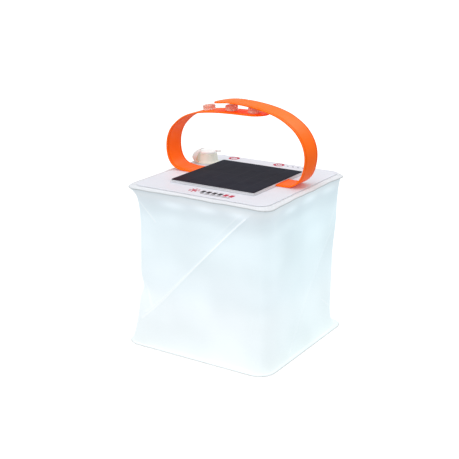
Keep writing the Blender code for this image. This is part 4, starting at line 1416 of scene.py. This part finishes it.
NECK_STEP, BORE_STEP = 0.0026, 0.0056       # flange edge to the neck and to its bore
CAP_RISE = 0.0026       # valve rim to the cap's top
TETHER_HALF = 0.0004    # half of the tether's thickness
TETHER_SPREAD = 52      # degrees that the tether reaches round the neck, each way


class LANTERN_OT_valve(bpy.types.Operator):
    """Build the inflation valve and its soft tether, and finish its cap and flap"""

    bl_idname = "lantern.valve"
    bl_label = "Valve"

    def execute(self, context):
        # Painted light: a faint warm glow that brightens the clear valve
        glow = {"Emission_Color": (1.0, 0.95, 0.84, 1.0), "Emission_Strength": 0.10}
        milky = clear_material("valve_plastic", (0.88, 0.95, 0.86), 0.06, 0.30, **glow)
        x, y = middle_of("valve_body")
        spot = Matrix.Translation((x, y, 0))
        low, rim = TOP + 0.0002, VALVE_HIGH.z
        wide = VALVE_HIGH.x - x
        neck, bore = wide - NECK_STEP, wide - BORE_STEP
        spigot = bore - 0.0010
        seat = spigot - 0.0022
        body = [
            (seat, VALVE_LOW.z), (spigot, VALVE_LOW.z), (spigot, low), (wide - 0.0004, low),
            (wide, low + 0.0004), (wide - 0.0002, low + 0.0009), (wide - 0.0009, low + 0.0012),
            (neck + 0.0012, low + 0.0022), (neck + 0.0002, rim - 0.0012), (neck, rim - 0.0003),
            (neck - 0.0006, rim), (bore + 0.0006, rim), (bore, rim - 0.0005),
            (bore, low + 0.0024), (seat, low + 0.0015),
        ]
        piece = lathe("valve_neck", rounded_profile(body, 0.0004), milky, spot, 96)
        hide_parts("valve_body")
        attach(piece, "top_unit")
        # Painted light: a faint glow that keeps the cap pale
        cap = clear_material("cap_plastic", (0.92, 0.98, 0.98), 0.0, 0.35,
                             Emission_Color=(1.0, 0.98, 1.0, 1.0), Emission_Strength=0.12)
        dress("valve_cap", cap, 0.0004, 4)
        dress("valve_flap", moulded_material("flap_rubber", (0.75, 0.75, 0.78), 0.6), 0.0001)
        self.tether(x, y, wide, low)
        return {"FINISHED"}

    def tether(self, x, y, wide, low):
        """Soft strip that bows out from the flange and up to the cap's edge."""
        hinge = Vector(JOINTS["open_valve"]["axis"])
        out = hinge.cross(Vector((0, 0, 1)))
        centre, top = Vector((x, y, 0)), VALVE_HIGH.z + CAP_RISE
        path = [
            (wide - 0.0012, low + 0.0014), (wide + 0.0014, low + 0.0018),
            (wide + 0.0034, low + 0.0042), (wide + 0.0030, low + 0.0072),
            (wide + 0.0004, top - 0.0020), (wide - 0.0024, top - 0.0004),
            (wide - 0.0046, top + 0.0004),
        ]
        points = curve_through(path, 0.0007)
        spread = [math.radians(angle) for angle in range(-TETHER_SPREAD, TETHER_SPREAD + 1, 8)]
        verts = []
        count = len(points)
        for number, point in enumerate(points):
            ahead = points[min(number + 1, count - 1)] - points[max(number - 1, 0)]
            ahead.normalize()
            for lift, angles in ((TETHER_HALF, spread), (-TETHER_HALF, spread[::-1])):
                for angle in angles:
                    side = math.cos(angle) * out + math.sin(angle) * hinge
                    reach, height = point.x + lift * ahead.y, point.y - lift * ahead.x
                    verts.append(centre + side * reach + Vector((0, 0, height)))
        ring = 2 * len(spread)
        faces = bridge(ring, count, ends=True)
        soft = tether_material()
        piece = add_mesh("valve_tether", verts, faces, soft,
                         lambda polygon, vertex: (vertex % ring / ring, vertex // ring / count))
        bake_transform(piece)


class LANTERN_OT_controls(bpy.types.Operator):
    """Finish the buttons, switches and level indicators"""

    bl_idname = "lantern.controls"
    bl_label = "Controls"

    def execute(self, context):
        settings = context.scene.lantern_top
        black = moulded_material("switch_housing", (0.02, 0.02, 0.022), 0.5)
        lens = clear_material("indicator_plastic", (0.30, 0.33, 0.42), 0.15, 0.25)
        for name in ("power", "level"):
            button = f"{name}_button"
            dress(button, button_material(settings, button), 0.00015)
            dress(f"{name}_switch", black, 0.0002)
        for number in range(1, 5):
            dress(f"level_indicator_{number}", lens)
        return {"FINISHED"}


class LANTERN_OT_electronics(bpy.types.Operator):
    """Finish the tray, board, battery, light chips and fasteners under the top"""

    bl_idname = "lantern.electronics"
    bl_label = "Electronics"

    def execute(self, context):
        dress("module_tray", clear_material("tray_plastic", (0.94, 0.95, 0.96), 0.8, 0.15), 0.0003)
        dress("circuit_board", board_material(), 0.0001)
        dress("battery", moulded_material("battery_sleeve", (0.06, 0.16, 0.42), 0.35), 0.0006)
        brass = moulded_material("turned_brass", (0.72, 0.52, 0.22), 0.3, metallic=1.0)
        steel = moulded_material("plated_steel", (0.58, 0.59, 0.61), 0.28, metallic=1.0)
        for number in range(1, 5):
            dress(f"board_standoff_{number}", brass, 0.0001)
            dress(f"board_screw_{number}", steel, 0.0001)
        chip = chip_material()
        for number in range(1, 11):
            dress(f"main_led_{number:02d}", chip, 0.0001)
        return {"FINISHED"}


# Name, place, width and power of each soft light
LIGHTS = (
    ("top_light", (-0.1, -0.3, 2.2), 2.0, 18), ("key_light", (-1.0, -1.8, 1.3), 1.2, 14),
    ("fill_light", (1.9, -0.6, 1.0), 1.4, 8), ("back_light", (0.3, 1.6, 1.5), 1.4, 8),
)
SKY_CAST, SKY_SEEN = 0.55, 1.02     # strength of the backdrop as light, and to the eye
FLOOR_SEEN = 0.92
FLOOR_HALF, FLOOR_DROP = 6.0, 0.0002


class LANTERN_OT_stage(bpy.types.Operator):
    """Set up the pale floor, the soft studio light and the camera"""

    bl_idname = "lantern.stage"
    bl_label = "Stage"

    def execute(self, context):
        scene = context.scene
        settings = scene.lantern_stage
        back = Vector((
            math.sin(settings.azimuth) * math.cos(settings.elevation),
            -math.cos(settings.azimuth) * math.cos(settings.elevation),
            math.sin(settings.elevation),
        ))
        data = bpy.data.cameras.new("camera")
        data.sensor_width = 36
        data.lens = settings.lens
        camera = bpy.data.objects.new("camera", data)
        camera.rotation_mode = "QUATERNION"
        camera.location = Vector(settings.aim) + back * settings.distance
        turn = (-back).to_track_quat("-Z", "Y")
        camera.rotation_quaternion = turn @ Quaternion((0, 0, 1), settings.roll)
        scene.collection.objects.link(camera)
        scene.camera = camera
        self.floor()
        for name, place, size, power in LIGHTS:
            self.light(name, place, size, power)
        world = bpy.data.worlds.new("studio")
        world.use_nodes = True
        world.node_tree.nodes["Background"].inputs[0].default_value = (1.0, 1.0, 1.0, 1.0)
        self.sky(world)
        scene.world = world
        scene.view_settings.view_transform = "Standard"
        return {"FINISHED"}

    def sky(self, world):
        """Pale backdrop: brighter to the eye than the light it casts."""
        tree = world.node_tree
        path = tree.nodes.new("ShaderNodeLightPath")
        level = tree.nodes.new("ShaderNodeMapRange")
        level.inputs["To Min"].default_value = SKY_CAST
        level.inputs["To Max"].default_value = SKY_SEEN
        tree.links.new(path.outputs["Is Camera Ray"], level.inputs["Value"])
        tree.links.new(level.outputs[0], tree.nodes["Background"].inputs[1])

    def floor(self):
        """Pale floor: a soft shadow, and brighter to the eye than the light it gives back."""
        def paint(wire, socket):
            grain = wire.group(grain_group(), scale=300.0, drift_scale=3.0)
            wire.feed(socket["Base Color"], wire.mix(grain["Drift"], (0.34,) * 3, (0.36,) * 3))
            path = wire.tree.nodes.new("ShaderNodeLightPath")
            seen = wire.math("MULTIPLY", path.outputs["Is Camera Ray"], FLOOR_SEEN)
            wire.feed(socket["Emission Strength"], seen)

        surface = material("pale_floor", paint, Roughness=0.9, Specular_IOR_Level=0.0,
                           Emission_Color=(1.0, 1.0, 1.0, 1.0))
        far = FLOOR_HALF
        corners = [Vector((x, y, -FLOOR_DROP)) for x, y in
                   ((-far, -far), (far, -far), (far, far), (-far, far))]
        add_mesh("floor", corners, [(0, 1, 2, 3)], surface)

    def light(self, name, place, size, power):
        data = bpy.data.lights.new(name, "AREA")
        data.shape = "DISK"
        data.size = size
        data.energy = power
        lamp = bpy.data.objects.new(name, data)
        lamp.location = place
        lamp.rotation_mode = "QUATERNION"
        lamp.rotation_quaternion = (Vector((0, 0, 0.1)) - Vector(place)).to_track_quat("-Z", "Y")
        bpy.context.scene.collection.objects.link(lamp)


class LANTERN_PT_build(bpy.types.Panel):
    """Lists the lantern's settings and build steps"""

    bl_label = "Solar Lantern"
    bl_idname = "LANTERN_PT_build"
    bl_space_type = "VIEW_3D"
    bl_region_type = "UI"
    bl_category = "Lantern"

    def draw(self, context):
        for group in (context.scene.lantern_film, context.scene.lantern_top,
                      context.scene.lantern_strap, context.scene.lantern_stage):
            box = self.layout.box()
            for name in group.__annotations__:
                box.prop(group, name)
        for step in STEPS:
            self.layout.operator(step.bl_idname)


STEPS = (
    LANTERN_OT_stage, LANTERN_OT_film_body, LANTERN_OT_top, LANTERN_OT_panel, LANTERN_OT_strap,
    LANTERN_OT_snaps, LANTERN_OT_valve, LANTERN_OT_controls, LANTERN_OT_electronics,
)
SETTINGS = {
    "lantern_film": LanternFilmSettings, "lantern_top": LanternTopSettings,
    "lantern_strap": LanternStrapSettings, "lantern_stage": LanternStageSettings,
}


def register():
    for name, group in SETTINGS.items():
        bpy.utils.register_class(group)
        setattr(bpy.types.Scene, name, bpy.props.PointerProperty(type=group))
    for item in (*STEPS, LANTERN_PT_build):
        bpy.utils.register_class(item)


def unregister():
    for item in reversed((*STEPS, LANTERN_PT_build)):
        bpy.utils.unregister_class(item)
    for name, group in SETTINGS.items():
        delattr(bpy.types.Scene, name)
        bpy.utils.unregister_class(group)


def main():
    register()
    for step in STEPS:
        area, action = step.bl_idname.split(".")
        getattr(getattr(bpy.ops, area), action)()


if __name__ == "__main__":
    main()
